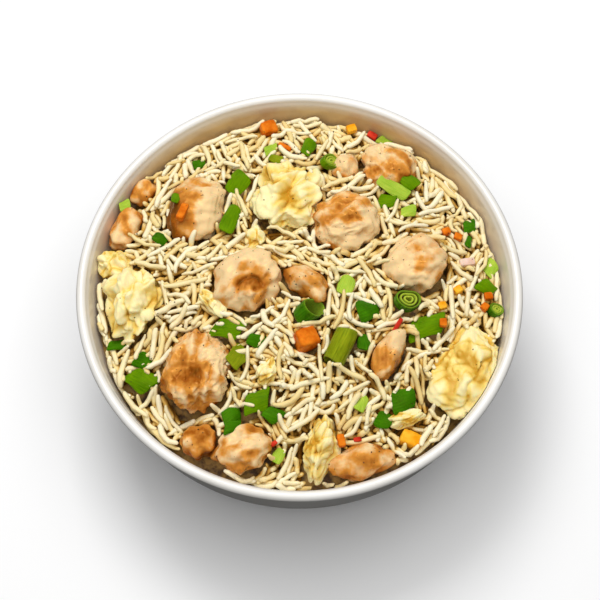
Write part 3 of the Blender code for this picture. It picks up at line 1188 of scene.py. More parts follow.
    def stick(self, count: int) -> None:
        """Adds grains that stand up out of the heap at a steep slope, their lower end buried.

        Args:
            count: the most that are added.
        """
        flat, along = self.centrelines(count * 2)
        ground = self.support(flat)
        middle = along.shape[1] // 2
        slope = self.rng.uniform(*self.standing_slope, len(flat))
        row, column = self.heap.cells(flat[..., 0], flat[..., 1])
        free = ~self.heap.covered[row, column].any(axis=1)
        for i in np.flatnonzero(free)[:count]:
            heights = ground[i, middle] + slope[i] * along[i] + self.standing_lift
            line = self.shortened(np.column_stack([flat[i], heights]), along[i])
            room = self.heap.bowl.inner_radius(line[:, 2]) - self.radius - self.wall_gap
            if (np.hypot(line[:, 0], line[:, 1]) < room).all():
                self.keep(line, 0.0)

    def shortened(self, line: Array, along: Array) -> Array:
        """A sloping line drawn in about its middle, so that it keeps the grain's length.

        Args:
            line: points of the centreline.
            along: distance along it before it sloped.

        Returns:
            The points, drawn in.
        """
        slope = (line[-1, 2] - line[0, 2]) / (along[-1] - along[0])
        middle = line[len(line) // 2]
        return middle + (line - middle) / math.sqrt(1 + slope ** 2)

    def keep(self, line: Array, depth: float) -> None:
        """Keeps a grain on this line, with a thickness and a tone of its own, and painted shade that darkens
        it with depth.

        Args:
            line: points of the centreline.
            depth: how deep it lies, 1 or more at the deepest.
        """
        size = self.radius * self.rng.uniform(*self.thickness)
        raised = line + np.array([0, 0, self.bedding * size])
        own_tone = self.own_tone * self.rng.beta(*self.tone_skew)
        # Painted shade: grains laid deeper under the finished heap start darker.
        tone_and_painted_shade = self.deep_painted_shade * min(max(depth, 0.0), 1.0) + own_tone
        self.lines.append(raised)
        self.sizes.append(size)
        self.tones_and_painted_shades.append(min(tone_and_painted_shade, 1.0))
        self.mark_ground(raised, size)

    def mark_ground(self, line: Array, size: float) -> None:
        """Raises the ground over a grain: its centreline plus a round cross section.

        Args:
            line: points of the centreline.
            size: radius of the grain.
        """
        fine = np.linspace(0, len(line) - 1, 40)
        dense = np.stack([np.interp(fine, np.arange(len(line)), line[:, k]) for k in range(3)], axis=1)
        tangent = np.gradient(dense[:, :2], axis=0)
        tangent /= np.linalg.norm(tangent, axis=1)[:, None] + 1e-9
        normal = np.stack([-tangent[:, 1], tangent[:, 0]], axis=1)
        shift = np.linspace(-0.9, 0.9, 7)[:, None, None]
        top = dense[None, :, 2] + self.bedding * size * np.sqrt(1 - shift[..., 0] ** 2)
        side = dense[None, :, :2] + shift * size * normal[None]
        self.heap.stamp(np.concatenate([side, top[..., None]], axis=-1).reshape(-1, 3))

    def surface(self, chosen: Array) -> Surface:
        """Grains as one surface: rings across each centreline, full in the middle, tapered at the ends.

        Args:
            chosen: numbers of the grains.

        Returns:
            One surface with a tone at each point, darkened by painted shade where it lies under the skyline.
        """
        lines = np.stack([self.lines[i] for i in chosen])
        sizes = np.array([self.sizes[i] for i in chosen])
        tones_and_painted_shades = np.array([self.tones_and_painted_shades[i] for i in chosen])
        count, points = lines.shape[:2]
        place = np.array(self.stations) * (points - 1)
        low = np.minimum(place.astype(int), points - 2)
        part = (place - low)[None, :, None]
        centre = lines[:, low] * (1 - part) + lines[:, low + 1] * part
        wander = np.random.default_rng(self.seed + 1)
        centre[:, 1:-1] += wander.normal(0, self.wobble, (count, len(self.stations) - 2, 3))
        tangent = np.gradient(centre, axis=1)
        tangent /= np.linalg.norm(tangent, axis=-1, keepdims=True)
        across = np.cross(tangent, np.array([0, 0, 1.0]))
        across /= np.linalg.norm(across, axis=-1, keepdims=True)
        upward = np.cross(across, tangent)
        turn = 2 * np.pi * np.arange(self.sides) / self.sides
        uneven = wander.normal(1, self.unevenness, (count, len(self.stations)))
        uneven += wander.normal(0, self.lopsidedness, (count, 1)) * (np.array(self.stations) - 0.5)
        reach = (sizes[:, None] * np.array(self.fullness)[None, :] * uneven)[:, :, None, None]
        ring = centre[:, :, None] + reach * (
            np.cos(turn)[:, None] * across[:, :, None] + 0.88 * np.sin(turn)[:, None] * upward[:, :, None]
        )
        tips = np.stack([lines[:, 0], lines[:, -1]], axis=1)
        own = np.concatenate([ring.reshape(count, -1, 3), tips], axis=1)
        quads, triangles = capsule_faces(len(self.stations), self.sides)
        start = (np.arange(count) * own.shape[1])[:, None, None]
        row, column = self.heap.cells(own[..., 0], own[..., 1])
        # Painted shade: points below the tops round about take a darker, browner tone.
        buried = np.clip((self.skyline()[row, column] - own[..., 2] - 0.3) / self.painted_shade_depth, 0, 1)
        tone_and_painted_shade = np.clip(tones_and_painted_shades[:, None] + self.buried_painted_shade * buried, 0, 1)
        return Surface(
            own.reshape(-1, 3),
            (quads[None] + start).reshape(-1, 4),
            (triangles[None] + start).reshape(-1, 3),
            {"tone_and_painted_shade": tone_and_painted_shade.ravel()},
        )

    def skyline(self, reach: int = 5) -> Array:
        """Height of the tops round about: the ground averaged over a square of cells.

        Args:
            reach: half the side of the square, in cells.

        Returns:
            A height for each cell.
        """
        sums = np.pad(self.heap.ground, reach, mode="edge")
        for axis in (0, 1):
            sums = np.stack([np.roll(sums, shift, axis) for shift in range(-reach, reach + 1)]).mean(axis=0)
        return sums[reach:-reach, reach:-reach]

    def build(self) -> list[bpy.types.Object]:
        """The laid grains as pieces of about equal size, each under the triangle limit.

        Returns:
            Their objects.
        """
        material = CookedRice().material()
        pieces = []
        for number, part in enumerate(np.array_split(np.arange(len(self.lines)), 3), start=1):
            pieces.append(make_object(f"rice_grains_{number:02d}", self.surface(part), material))
            declare(pieces[-1], "rice", "rice")
        return pieces


# ---------------------------------------------------------------- toppings


def middle_of(node: str) -> Array:
    """Middle of a node's box in the frame, in millimetres."""
    low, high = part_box(node)
    return np.array((low + high) / 2) / MM


# Sizes of what the knife and the pan leave on chicken, in millimetres, and how far its sides flatten.
LUMP_SIZE = 4.6
FOLD_SIZE = 7.5
FIBRE_SIZE = 2.6
ROUGH_SIZE = 1.6
KNOB_SIZE = 3.4
BLOCKY_POWER = 0.82

# A curled cut's hollow, spiral crease and eye, in millimetres.
HOLLOW_DEPTH = 1.5
CREASE_DEPTH = 1.3
CREASE_WIDTH = 0.8
EYE_RADIUS = 0.9


@dataclass(frozen=True)
class Chunk:
    """A cut of chicken: its size, how it lies and how it is browned.

    Half sizes and places are in millimetres and turns in degrees. Ridge and crust are the heights
    of folds and knobs as shares of the cut's size. Sear, the cut's browning together with painted
    shade, runs from 0, raw and pale, to 1, dark; the painted shade darkens the lower sides, the
    troughs between folds and knobs, and a curled cut's crease and eye. Browner says how much it
    rises towards +X and +Y. A cut that curled up in the pan has a dished middle round an eye, with
    a spiral crease. Mottle is how far the browning wanders.
    """

    node: str
    half: tuple[float, float, float]
    turn: float
    bend: float
    ridge: float
    sear_and_painted_shade: float
    seed: int
    browner: tuple[float, float] = (0.0, 0.0)
    dish: float = 0.0
    eye: tuple[float, float] = (0.0, 0.0)
    crust: float = 0.0
    mottle: float = 0.22

    def surface(self, bowl: Bowl) -> Surface:
        """A blocky ball, swollen by lumps and fibre ridges, bent round its long side, then dished.

        The ball's directions are raised to a power under 1 so that its sides flatten. Lumps of
        about its own half size and ridges along its length push it out and in.

        Args:
            bowl: the bowl that it stays inside.

        Returns:
            The cut in its place, with a sear mark.
        """
        surface = ball(80, 120)
        unit = surface.points
        half = np.array(self.half)
        blocky = np.sign(unit) * np.abs(unit) ** BLOCKY_POWER * half
        lump = waves(blocky, 0.9 * half.max(), self.seed) + 0.45 * waves(blocky, LUMP_SIZE, self.seed + 5)
        fold = 1 - np.abs(waves(blocky * np.array([0.45, 1, 1]), FOLD_SIZE, self.seed + 1))
        fibre = waves(blocky * np.array([0.25, 1, 1]), FIBRE_SIZE, self.seed + 2)
        rough = waves(blocky, ROUGH_SIZE, self.seed + 3)
        knobs = 1 - np.abs(waves(blocky, KNOB_SIZE, self.seed + 6))
        push = 0.12 * lump + self.ridge * (fold - 0.6) + self.crust * (knobs - 0.55)
        push = push + (0.11 * fibre + 0.05 * rough) / half.mean()
        solid = blocky * (1 + push)[:, None]
        bend = max(self.bend, 0.05)
        curl = 2 * half[0] / bend
        angle = solid[:, 0] / curl
        bent = np.stack([
            (curl + solid[:, 1]) * np.sin(angle),
            (curl + solid[:, 1]) * np.cos(angle) - curl,
            solid[:, 2],
        ], axis=1)
        points = bent @ turn_matrix(self.turn).T
        # Painted shade: darker in the troughs between folds and knobs, paler on their tops.
        sear_and_painted_shade = self.sear_and_painted_shade + self.mottle * waves(blocky, 1.1 * half.max(), self.seed + 4) - 0.3 * (fold - 0.6)
        sear_and_painted_shade = sear_and_painted_shade - 0.8 * self.crust * (knobs - 0.55)
        sear_and_painted_shade = sear_and_painted_shade + points[:, 0] / half[0] * self.browner[0] + points[:, 1] / half[1] * self.browner[1]
        # Painted shade: the lower sides darker.
        sear_and_painted_shade = sear_and_painted_shade + 0.22 * (1 - np.clip(1.6 * unit[:, 2], 0, 1))
        if self.dish:
            hollow, crease = self.curled(points, np.clip(unit[:, 2], 0, 1) ** 0.5)
            points[:, 2] -= self.dish * (HOLLOW_DEPTH * hollow + CREASE_DEPTH * crease)
            # The dished middle browner, the crease and eye darker still: browning with painted shade in the
            # recess.
            sear_and_painted_shade = sear_and_painted_shade + self.dish * (0.78 * hollow + 0.25 * crease)
        # The cut in its place, with a mark of its browning and painted shade.
        surface.points = inside_wall(points + middle_of(self.node), bowl)
        surface.marks = {"sear_and_painted_shade": np.clip(sear_and_painted_shade, -0.2, 1)}
        return surface

    def curled(self, points: Array, top: Array) -> tuple[Array, Array]:
        """How far each point lies in the hollow round the eye, and in the spiral crease.

        Args:
            points: points round the middle of the cut.
            top: share from 0 to 1 of how far each faces up.

        Returns:
            The hollow and the crease, each about 0 to 1.
        """
        size = 0.5 * (self.half[0] + self.half[1])
        x, y = points[:, 0] - self.eye[0], points[:, 1] - self.eye[1]
        away, turn = np.hypot(x, y), np.arctan2(y, x) % (2 * math.pi)
        off_middle = points[:, :2] - 0.45 * np.array(self.eye)
        hollow = np.exp(-((np.linalg.norm(off_middle, axis=1) / (0.6 * size)) ** 4))
        hole = np.exp(-((away / EYE_RADIUS) ** 2))
        line = size * (0.2 + 0.75 * turn / (2 * math.pi)) + 0.9 * waves(points, 9.0, self.seed + 7)
        crease = np.exp(-(((away - line) / CREASE_WIDTH) ** 2)) * np.sin(0.5 * turn)
        return top * hollow, top * np.clip(crease + 1.1 * hole, 0, 1.6)


def inside_wall(points: Array, bowl: Bowl, gap: float = 0.25) -> Array:
    """Points pressed in where they would cross the bowl's inner wall.

    Args:
        points: points as (points, 3).
        bowl: the bowl.
        gap: how far inside the wall they stay.

    Returns:
        The points, drawn in towards the axis.
    """
    radius = np.hypot(points[:, 0], points[:, 1])
    limit = bowl.inner_radius(points[:, 2]) - gap
    scale = np.minimum(1.0, limit / np.maximum(radius, 1e-6))
    return points * np.stack([scale, scale, np.ones_like(scale)], axis=1)


@dataclass
class Chicken:
    """All the chicken. Each cut is a piece of its own."""

    bowl: Bowl
    cuts: tuple[Chunk, ...] = (
        Chunk("chicken_01", (12.6, 10.2, 7.0), turn=80, bend=0.5, ridge=0.09, sear_and_painted_shade=0.22, seed=31,
              browner=(-0.95, 0.0)),
        Chunk("chicken_02", (12.2, 10.6, 7.4), turn=35, bend=0.6, ridge=0.03, sear_and_painted_shade=-0.06, seed=37,
              browner=(-0.04, -0.06), dish=1.0, eye=(1.9, -6.4), mottle=0.08),
        Chunk("chicken_03", (11.6, 10.6, 7.5), turn=10, bend=0.3, ridge=0.07, sear_and_painted_shade=0.06, seed=3,
              browner=(-0.14, 0.10), dish=0.45, eye=(-2.5, 2.5), crust=0.06),
        Chunk("chicken_04", (10.6, 8.8, 6.4), turn=-15, bend=0.6, ridge=0.10, sear_and_painted_shade=0.24, seed=5,
              browner=(0.1, -0.15), crust=0.04),
        Chunk("chicken_05", (11.0, 10.6, 7.2), turn=50, bend=0.4, ridge=0.03, sear_and_painted_shade=0.02, seed=7,
              browner=(0.12, 0.02), dish=0.3, eye=(0.5, 3.0), mottle=0.12),
        Chunk("chicken_06", (14.2, 11.0, 7.2), turn=78, bend=0.6, ridge=0.05, sear_and_painted_shade=0.22, seed=41,
              browner=(-0.12, -0.05), dish=0.7, eye=(-4.5, -5.0), crust=0.08),
        Chunk("chicken_07", (10.0, 4.8, 5.2), turn=68, bend=0.5, ridge=0.03, sear_and_painted_shade=0.24, seed=9,
              browner=(0.0, -0.12)),
        Chunk("chicken_08", (9.8, 8.2, 6.2), turn=20, bend=0.8, ridge=0.08, sear_and_painted_shade=0.18, seed=12,
              browner=(0.0, -0.10)),
        Chunk("chicken_09", (10.8, 5.8, 5.4), turn=12, bend=0.5, ridge=0.06, sear_and_painted_shade=0.34, seed=14),
        Chunk("chicken_10", (8.2, 5.0, 4.8), turn=62, bend=0.6, ridge=0.05, sear_and_painted_shade=0.30, seed=16),
        Chunk("chicken_11", (6.4, 5.8, 5.0), turn=30, bend=0.4, ridge=0.08, sear_and_painted_shade=0.50, seed=18),
        Chunk("chicken_12", (8.6, 5.0, 5.0), turn=-35, bend=0.6, ridge=0.08, sear_and_painted_shade=0.45, seed=20),
        Chunk("chicken_13", (5.2, 4.4, 4.2), turn=15, bend=0.3, ridge=0.06, sear_and_painted_shade=0.12, seed=22),
        Chunk("chicken_14", (5.4, 4.4, 4.2), turn=55, bend=0.3, ridge=0.08, sear_and_painted_shade=0.40, seed=24),
    )

    def build(self, heap: Heap) -> None:
        """Makes every cut and stamps it on the heap's ground.

        Args:
            heap: the ground they lie on.
        """
        material = CookedChicken().material()
        for cut in self.cuts:
            surface = cut.surface(self.bowl)
            piece = make_object(cut.node + "_cooked", surface, material)
            heap.stamp(surface.points, cover=True)
            declare(piece, "chicken", cut.node)


# Sizes of what scrambling leaves on egg, in millimetres, and how far its flakes waver.
WAVER_SIZE = 8.0
CRACK_SIZE = 6.5
SHADE_SIZE = 9.0
CRUMBLE_SIZE = 2.2
WAVER = 0.14


@dataclass(frozen=True)
class Curd:
    """A scrambled egg curd: half sizes, turn, number of flakes, how rough they are, and its place.

    A curd that stands for a node is named for it and lies in the middle of its box.
    """

    name: str
    half: tuple[float, float, float]
    turn: float
    count: int
    depth: float
    seed: int
    place: tuple[float, float] = (0.0, 0.0)

    def surface(self, bowl: Bowl, middle: Array) -> Surface:
        """Big flakes with smaller ones on them, on a lumpy ball whose directions waver a little.

        Args:
            bowl: the bowl that it stays inside.
            middle: its place.

        Returns:
            The curd, with a mark of painted light and shade: 1 where it stands high, 0 in a crease.
        """
        surface = ball(84, 128)
        unit = surface.points
        half = np.array(self.half)
        body = unit * half
        warped = unit + WAVER * np.stack([waves(body, WAVER_SIZE, self.seed + k) for k in (6, 7, 8)], axis=-1)
        warped /= np.linalg.norm(warped, axis=1)[:, None]
        big, crease = plates(warped, self.count, self.seed)
        small, furrow = plates(warped, self.count * 5, self.seed + 1)
        push = big * (1 + self.depth * (small - 1) - 0.10 * self.depth * furrow - 0.22 * self.depth * crease)
        crack = np.clip(1 - 1.6 * np.abs(waves(body, CRACK_SIZE, self.seed + 9)), 0, 1) ** 2
        lumps = 0.05 * waves(body, 0.9 * half.max(), self.seed + 2)
        lumps = lumps + 0.02 * waves(body, CRUMBLE_SIZE, self.seed + 3)
        push = push + lumps - 0.07 * self.depth * crack
        points = body * push[:, None]
        # Painted light and shade: paler where the curd stands high, darker in cracks, creases, furrows and on
        # lower flakes.
        crown_painted_light = 0.84 - 0.34 * crack - 0.42 * crease - 0.3 * furrow + 1.5 * (small - 1)
        crown_painted_light = crown_painted_light + 0.22 * waves(body, SHADE_SIZE, self.seed + 4)
        surface.points = inside_wall(points @ turn_matrix(self.turn).T + middle, bowl)
        surface.marks = {"crown_painted_light": np.clip(crown_painted_light, 0, 1)}
        return surface


@dataclass
class Egg:
    """All the scrambled egg, the large curds and the crumbs between the grains."""

    bowl: Bowl
    # name, half sizes, turn, flakes, roughness, seed and, for a crumb, its place
    large: tuple[Curd, ...] = (
        Curd("egg_01", (13.6, 10.4, 7.4), 84, 13, 0.9, 3),
        Curd("egg_02", (11.6, 9.0, 6.8), 75, 14, 1.0, 5),
        Curd("egg_03", (5.8, 5.6, 5.0), 0, 9, 0.8, 8),
        Curd("egg_04", (15.2, 10.6, 6.4), 62, 9, 0.5, 13),
        Curd("egg_05", (9.8, 6.0, 6.0), 82, 11, 0.9, 21),
    )
    small: tuple[Curd, ...] = (
        Curd("egg_crumb_01", (5.4, 2.4, 2.6), -52, 8, 0.8, 31, (-32.0, -6.5)),
        Curd("egg_crumb_02", (5.4, 2.8, 2.6), 8, 8, 0.8, 33, (38.5, -50.5)),
        Curd("egg_crumb_03", (4.2, 2.6, 2.4), 80, 7, 0.8, 35, (-16.3, 20.0)),
        Curd("egg_crumb_04", (4.8, 2.8, 2.6), 70, 8, 0.8, 37, (-11.6, -34.0)),
    )

    def build(self, heap: Heap) -> None:
        """Makes the large curds in their places.

        Args:
            heap: the ground they lie on.
        """
        self.material = ScrambledEgg().material()
        for curd in self.large:
            surface = curd.surface(self.bowl, middle_of(curd.name))
            piece = make_object(curd.name + "_curd", surface, self.material)
            heap.stamp(surface.points, cover=True)
            declare(piece, "egg", curd.name)

    def scatter(self, heap: Heap) -> None:
        """Sets the crumbs on the rice, half sunk, as one piece.

        Args:
            heap: the ground they lie on.
        """
        made = []
        for curd in self.small:
            x, y = curd.place
            middle = np.array([x, y, heap.rest_height(x, y, 2.5) + 0.2 * curd.half[2]])
            made.append(curd.surface(self.bowl, middle))
            heap.stamp(made[-1].points, cover=True)
        declare(make_object("egg_crumbs", joined(made), self.material), "egg")


class Cut(Enum):
    """How a bit of spring onion was cut."""

    TUBE = "a short length of stem, open at both ends"
    RING = "a thin slice across the stem"
    LEAF = "a flat piece of leaf, bowed across its width"


# Thickness of a stem's skin and half that of a leaf, in millimetres.
SKIN_WALL = 0.85
LEAF_HALF = 0.42


@dataclass(frozen=True)
class Sprig:
    """One bit of spring onion: place, size, how it lies and what it is.

    Its place also varies the wave of its edges. A bit that stands for a node lies in that node's box.
    """

    x: float
    y: float
    length: float
    radius: float
    turn: float
    lean: float
    cut: Cut
    shade: Green
    lift: float = 0.5
    node: str | None = None
    fold: float = 0.45

    def reach(self) -> float:
        """How far round its middle the grains stay off it: a leaf lets them lie over its edges."""
        return 0.5 * self.radius if self.cut is Cut.LEAF else self.radius

    def tube(self) -> Surface:
        """The outer skin, and on a thin slice the paler skins that show inside it.

        Returns:
            The skins, standing round Z.
        """
        if self.cut is not Cut.RING:
            return self.skin_tube(self.radius, 0.0)
        skins = ((1.0, 0.0), (0.70, 0.55), (0.40, 1.0))
        return joined([self.skin_tube(self.radius * share, pale) for share, pale in skins])

    def skin_tube(self, outside: float, pale: float) -> Surface:
        """A wall with rounded edges carried round an oval, a little waved along its rims.

        Args:
            outside: its outer radius.
            pale: how pale it is, from 0 to 1.

        Returns:
            The skin, with marks for its veins and paleness.
        """
        turns, section, half = 64, 20, 0.5 * self.length
        angle = 2 * np.pi * np.arange(turns) / turns
        outline = 2 * np.pi * np.arange(section) / section
        thick = 0.5 * SKIN_WALL * np.sign(np.cos(outline)) * np.abs(np.cos(outline)) ** 0.7
        along = half * np.sign(np.sin(outline)) * np.abs(np.sin(outline)) ** 0.35
        oval = 1 + 0.13 * np.cos(2 * angle) + 0.05 * np.sin(3 * angle + self.turn)
        radius = outside * oval[:, None] - 0.5 * SKIN_WALL + thick[None, :]
        rim = along[None, :] * (1 + 0.08 * np.sin(2 * angle + self.x)[:, None])
        grid = np.stack([radius * np.cos(angle)[:, None], radius * np.sin(angle)[:, None], rim], axis=-1)
        surface = ring_tube(grid)
        round_stem = np.stack([np.cos(angle), np.sin(angle)], axis=1)[:, None] * np.ones((1, section, 1)) * 4
        skin = np.concatenate([round_stem, 0.08 * rim[..., None]], axis=-1)
        inward = np.clip(0.5 - thick / SKIN_WALL, 0, 1)[None, :] * np.ones((turns, 1))
        surface.marks = {"skin": skin.reshape(-1, 3), "pale": np.clip(pale + 0.5 * inward, 0, 1).ravel()}
        return surface

    def leaf(self) -> Surface:
        """A thin sheet bowed across its width and curved along its length, with cut ends.

        Returns:
            The leaf along X, with marks for its veins.
        """
        rings, sides = 40, 36
        t = np.linspace(-1, 1, rings)
        around = 2 * np.pi * np.arange(sides) / sides
        width = self.radius * (1 - 0.12 * np.sin(2.2 * t + self.x)) * (1 - np.abs(t) ** 14 * 0.35)
        flat = np.sign(np.cos(around)) * np.abs(np.cos(around)) ** 0.45
        across = width[:, None] * flat[None, :]
        fold = self.fold * (0.6 + 0.4 * t[:, None])
        bow = fold * (np.sqrt(across ** 2 + 0.3) - 0.5)
        thin = LEAF_HALF * np.sin(around)[None, :] * np.ones((rings, 1))
        along = 0.5 * self.length * t[:, None] + (0.3 + 0.2 * math.sin(self.x)) * across
        lift = thin - bow + 0.5 * np.sin(1.6 * t + self.y)[:, None]
        grid = np.stack([along + 0 * across, across, lift], axis=-1)
        surface = capsule(grid, grid[0].mean(axis=0), grid[-1].mean(axis=0))
        veins = np.stack([0.08 * grid[..., 0], 2.2 * grid[..., 1], 0 * across], axis=-1).reshape(-1, 3)
        surface.marks = {"skin": np.concatenate([veins, np.zeros((2, 3))]), "pale": np.zeros(len(veins) + 2)}
        return surface

    def surface(self, middle: Array) -> Surface:
        """The bit, leant and turned into place.

        Args:
            middle: its place.

        Returns:
            The bit.
        """
        made = self.leaf() if self.cut is Cut.LEAF else self.tube()
        made.points = made.points @ turn_matrix(self.turn, self.lean).T + middle
        return made


@dataclass
class SpringOnion:
    """All the spring onion: the nodes' larger bits, and smaller ones, one piece for each green."""

    bowl: Bowl
    # x, y, length, radius, turn, lean, cut, green and lift
    large: tuple[Sprig, ...] = (
        Sprig(0, 0, 7.0, 4.5, 20, 40, Cut.TUBE, Green.DARK, 1.3, node="onion_01"),
        Sprig(0, 0, 13.0, 4.7, 65, 80, Cut.TUBE, Green.OLIVE, 1.2, node="onion_02"),
        Sprig(0, 0, 4.0, 4.3, 0, 15, Cut.RING, Green.DARK, 2.2, node="onion_03"),
        Sprig(1, 2, 13.0, 4.2, 15, -12, Cut.LEAF, Green.BRIGHT, 1.6, node="onion_04"),
        Sprig(2, 1, 11.0, 4.0, -10, -8, Cut.LEAF, Green.BRIGHT, 1.6, node="onion_05"),
        Sprig(2, 3, 9.0, 4.0, 20, -12, Cut.LEAF, Green.BRIGHT, 1.8, node="onion_06"),
        Sprig(4, 1, 9.5, 3.6, 52, -14, Cut.LEAF, Green.BRIGHT, 2.0, node="onion_07"),
        Sprig(3, 1, 10.5, 4.3, -35, -10, Cut.LEAF, Green.BRIGHT, 1.5, node="onion_08"),
    )
    small: tuple[Sprig, ...] = (
        Sprig(-25.8, 27.5, 13.0, 2.8, 72, 8, Cut.LEAF, Green.BRIGHT, 1.2),
        Sprig(3.3, 60.0, 8.0, 2.4, 68, 6, Cut.LEAF, Green.BRIGHT),
        Sprig(11.4, 52.5, 3.0, 3.4, 10, 40, Cut.RING, Green.BRIGHT),
        Sprig(35.5, 41.5, 13.0, 2.6, -28, 6, Cut.LEAF, Green.LIGHT, 1.4),
        Sprig(33.0, 36.6, 7.0, 3.0, 10, 5, Cut.LEAF, Green.BRIGHT, 1.0),
        Sprig(41.5, 44.5, 7.0, 2.8, -40, 8, Cut.LEAF, Green.BRIGHT, 1.0),
        Sprig(41.0, 32.5, 6.0, 2.2, 15, 4, Cut.LEAF, Green.LIGHT),
        Sprig(17.0, -0.8, 8.0, 2.8, 70, 10, Cut.LEAF, Green.LIGHT, 1.0),
        Sprig(25.0, -9.8, 9.0, 4.0, 30, 12, Cut.LEAF, Green.DARK, 0.6),
        Sprig(23.4, -22.5, 7.0, 2.2, 80, 10, Cut.LEAF, Green.DARK),
        Sprig(37.6, -43.5, 9.0, 4.2, 20, 8, Cut.LEAF, Green.DARK, 0.6),
        Sprig(30.5, -51.0, 6.0, 3.0, -20, 8, Cut.LEAF, Green.DARK),
        Sprig(22.0, -45.0, 7.0, 2.3, 75, 10, Cut.LEAF, Green.LIGHT, 1.0),
        Sprig(-22.6, -28.4, 9.5, 3.6, 60, 12, Cut.LEAF, Green.OLIVE, 0.5),
        Sprig(-15.6, -22.0, 6.5, 2.6, -10, 8, Cut.LEAF, Green.DARK),
        Sprig(-24.5, -49.0, 7.5, 3.4, 40, 8, Cut.LEAF, Green.DARK, 0.2),
        Sprig(-9.5, -49.5, 6.5, 3.0, -30, 8, Cut.LEAF, Green.DARK, 0.2),
        Sprig(-56.5, -27.0, 7.0, 3.0, -20, 8, Cut.LEAF, Green.DARK, 0.2),
        Sprig(-67.0, -19.8, 7.0, 2.0, 10, 5, Cut.LEAF, Green.DARK),
        Sprig(-38.5, 55.0, 5.0, 1.8, 20, 5, Cut.LEAF, Green.DARK),
        Sprig(-52.0, 20.5, 5.5, 2.0, -30, 5, Cut.LEAF, Green.DARK),
        Sprig(-66.0, 36.0, 4.5, 2.2, 30, 5, Cut.LEAF, Green.LIGHT),
        Sprig(-11.0, 60.0, 6.0, 1.8, 40, 5, Cut.LEAF, Green.LIGHT),
        Sprig(-9.0, 55.5, 5.0, 1.8, -20, 5, Cut.LEAF, Green.OLIVE),
        Sprig(64.2, 28.8, 5.5, 2.6, 30, 8, Cut.LEAF, Green.DARK),
        Sprig(63.5, 21.5, 5.0, 1.2, 75, 5, Cut.LEAF, Green.DARK),
        Sprig(71.5, 11.5, 6.5, 2.6, 60, 8, Cut.LEAF, Green.LIGHT),
        Sprig(69.5, 2.5, 6.5, 2.8, -30, 8, Cut.LEAF, Green.BRIGHT),
        Sprig(72.5, -6.0, 3.0, 2.8, 0, 30, Cut.RING, Green.DARK),
        Sprig(33.0, 67.0, 5.0, 2.0, -20, 5, Cut.LEAF, Green.LIGHT),
        Sprig(-7.7, -63.7, 5.5, 2.0, 60, 5, Cut.LEAF, Green.LIGHT),
        Sprig(-46.3, 34.4, 4.5, 1.6, 80, 5, Cut.LEAF, Green.BRIGHT, 0.6),
        Sprig(-24.0, -54.5, 6.0, 2.4, 15, 5, Cut.LEAF, Green.DARK, 0.1),
    )

    def build(self, heap: Heap) -> None:
        """Makes the bits that stand for nodes, each a piece of its own.

        Args:
            heap: the ground they lie on.
        """
        self.materials = {shade: SpringOnionSkin(shade).material() for shade in Green}
        for sprig in self.large:
            surface = sprig.surface(middle_of(sprig.node) + np.array([0, 0, sprig.lift]))
            surface.points = inside_wall(surface.points, self.bowl)
            piece = make_object(sprig.node + "_cut", surface, self.materials[sprig.shade])
            heap.stamp(surface.points, cover=True)
            heap.keep_clear(surface.points[:, :2].mean(axis=0), sprig.reach())
            declare(piece, "onion", sprig.node)

    def scatter(self, heap: Heap) -> None:
        """Sets the small bits on the rice, one piece for each green.

        Args:
            heap: the ground they lie on.
        """
        for shade in Green:
            made = []
            for sprig in (s for s in self.small if s.shade is shade):
                ground = heap.rest_height(sprig.x, sprig.y, sprig.radius)
                surface = sprig.surface(np.array([sprig.x, sprig.y, ground + sprig.lift]))
                surface.points = inside_wall(surface.points, self.bowl)
                heap.stamp(surface.points, cover=True)
                heap.keep_clear(surface.points[:, :2].mean(axis=0), sprig.reach())
                made.append(surface)
            if made:
                name = "spring_onion_" + shade.name.lower()
                declare(make_object(name, joined(made), self.materials[shade]), "onion")


class Dye(Enum):
    """The colours of the diced bits: the name of the piece, the deep colour and the light one."""

    CARROT = ("carrot_bits", "#C85C08", "#EC8420")
    AMBER = ("carrot_pale", "#EC9A10", "#FBBE38")
    RED = ("red_pepper", "#B02318", "#D8442C")
    BLUSH = ("onion_flesh", "#E2B9A0", "#F0D6C4")


@dataclass(frozen=True)
class Die:
    """One diced bit: place, size along each edge, how it lies, and its colour."""

    x: float
    y: float
    size: tuple[float, float, float]
    turn: float
    lean: float
    dye: Dye
    node: str | None = None
    roundness: float = 0.22

    def surface(self, middle: Array) -> Surface:
        """A ball pushed out towards a cube, with soft edges and slightly dished, uneven sides.

        Args:
            middle: its place.

        Returns:
            The bit.
        """
        surface = ball(22, 36)
        unit = surface.points
        cube = unit / np.abs(unit).max(axis=1)[:, None]
        cube = (1 - self.roundness) * cube + self.roundness * unit
        solid = cube * 0.5 * np.array(self.size)
        solid = solid * (1 + 0.05 * waves(solid, 6.0, int(abs(self.x) * 7) + 1))[:, None]
        surface.points = solid @ turn_matrix(self.turn, self.lean).T + middle
        return surface


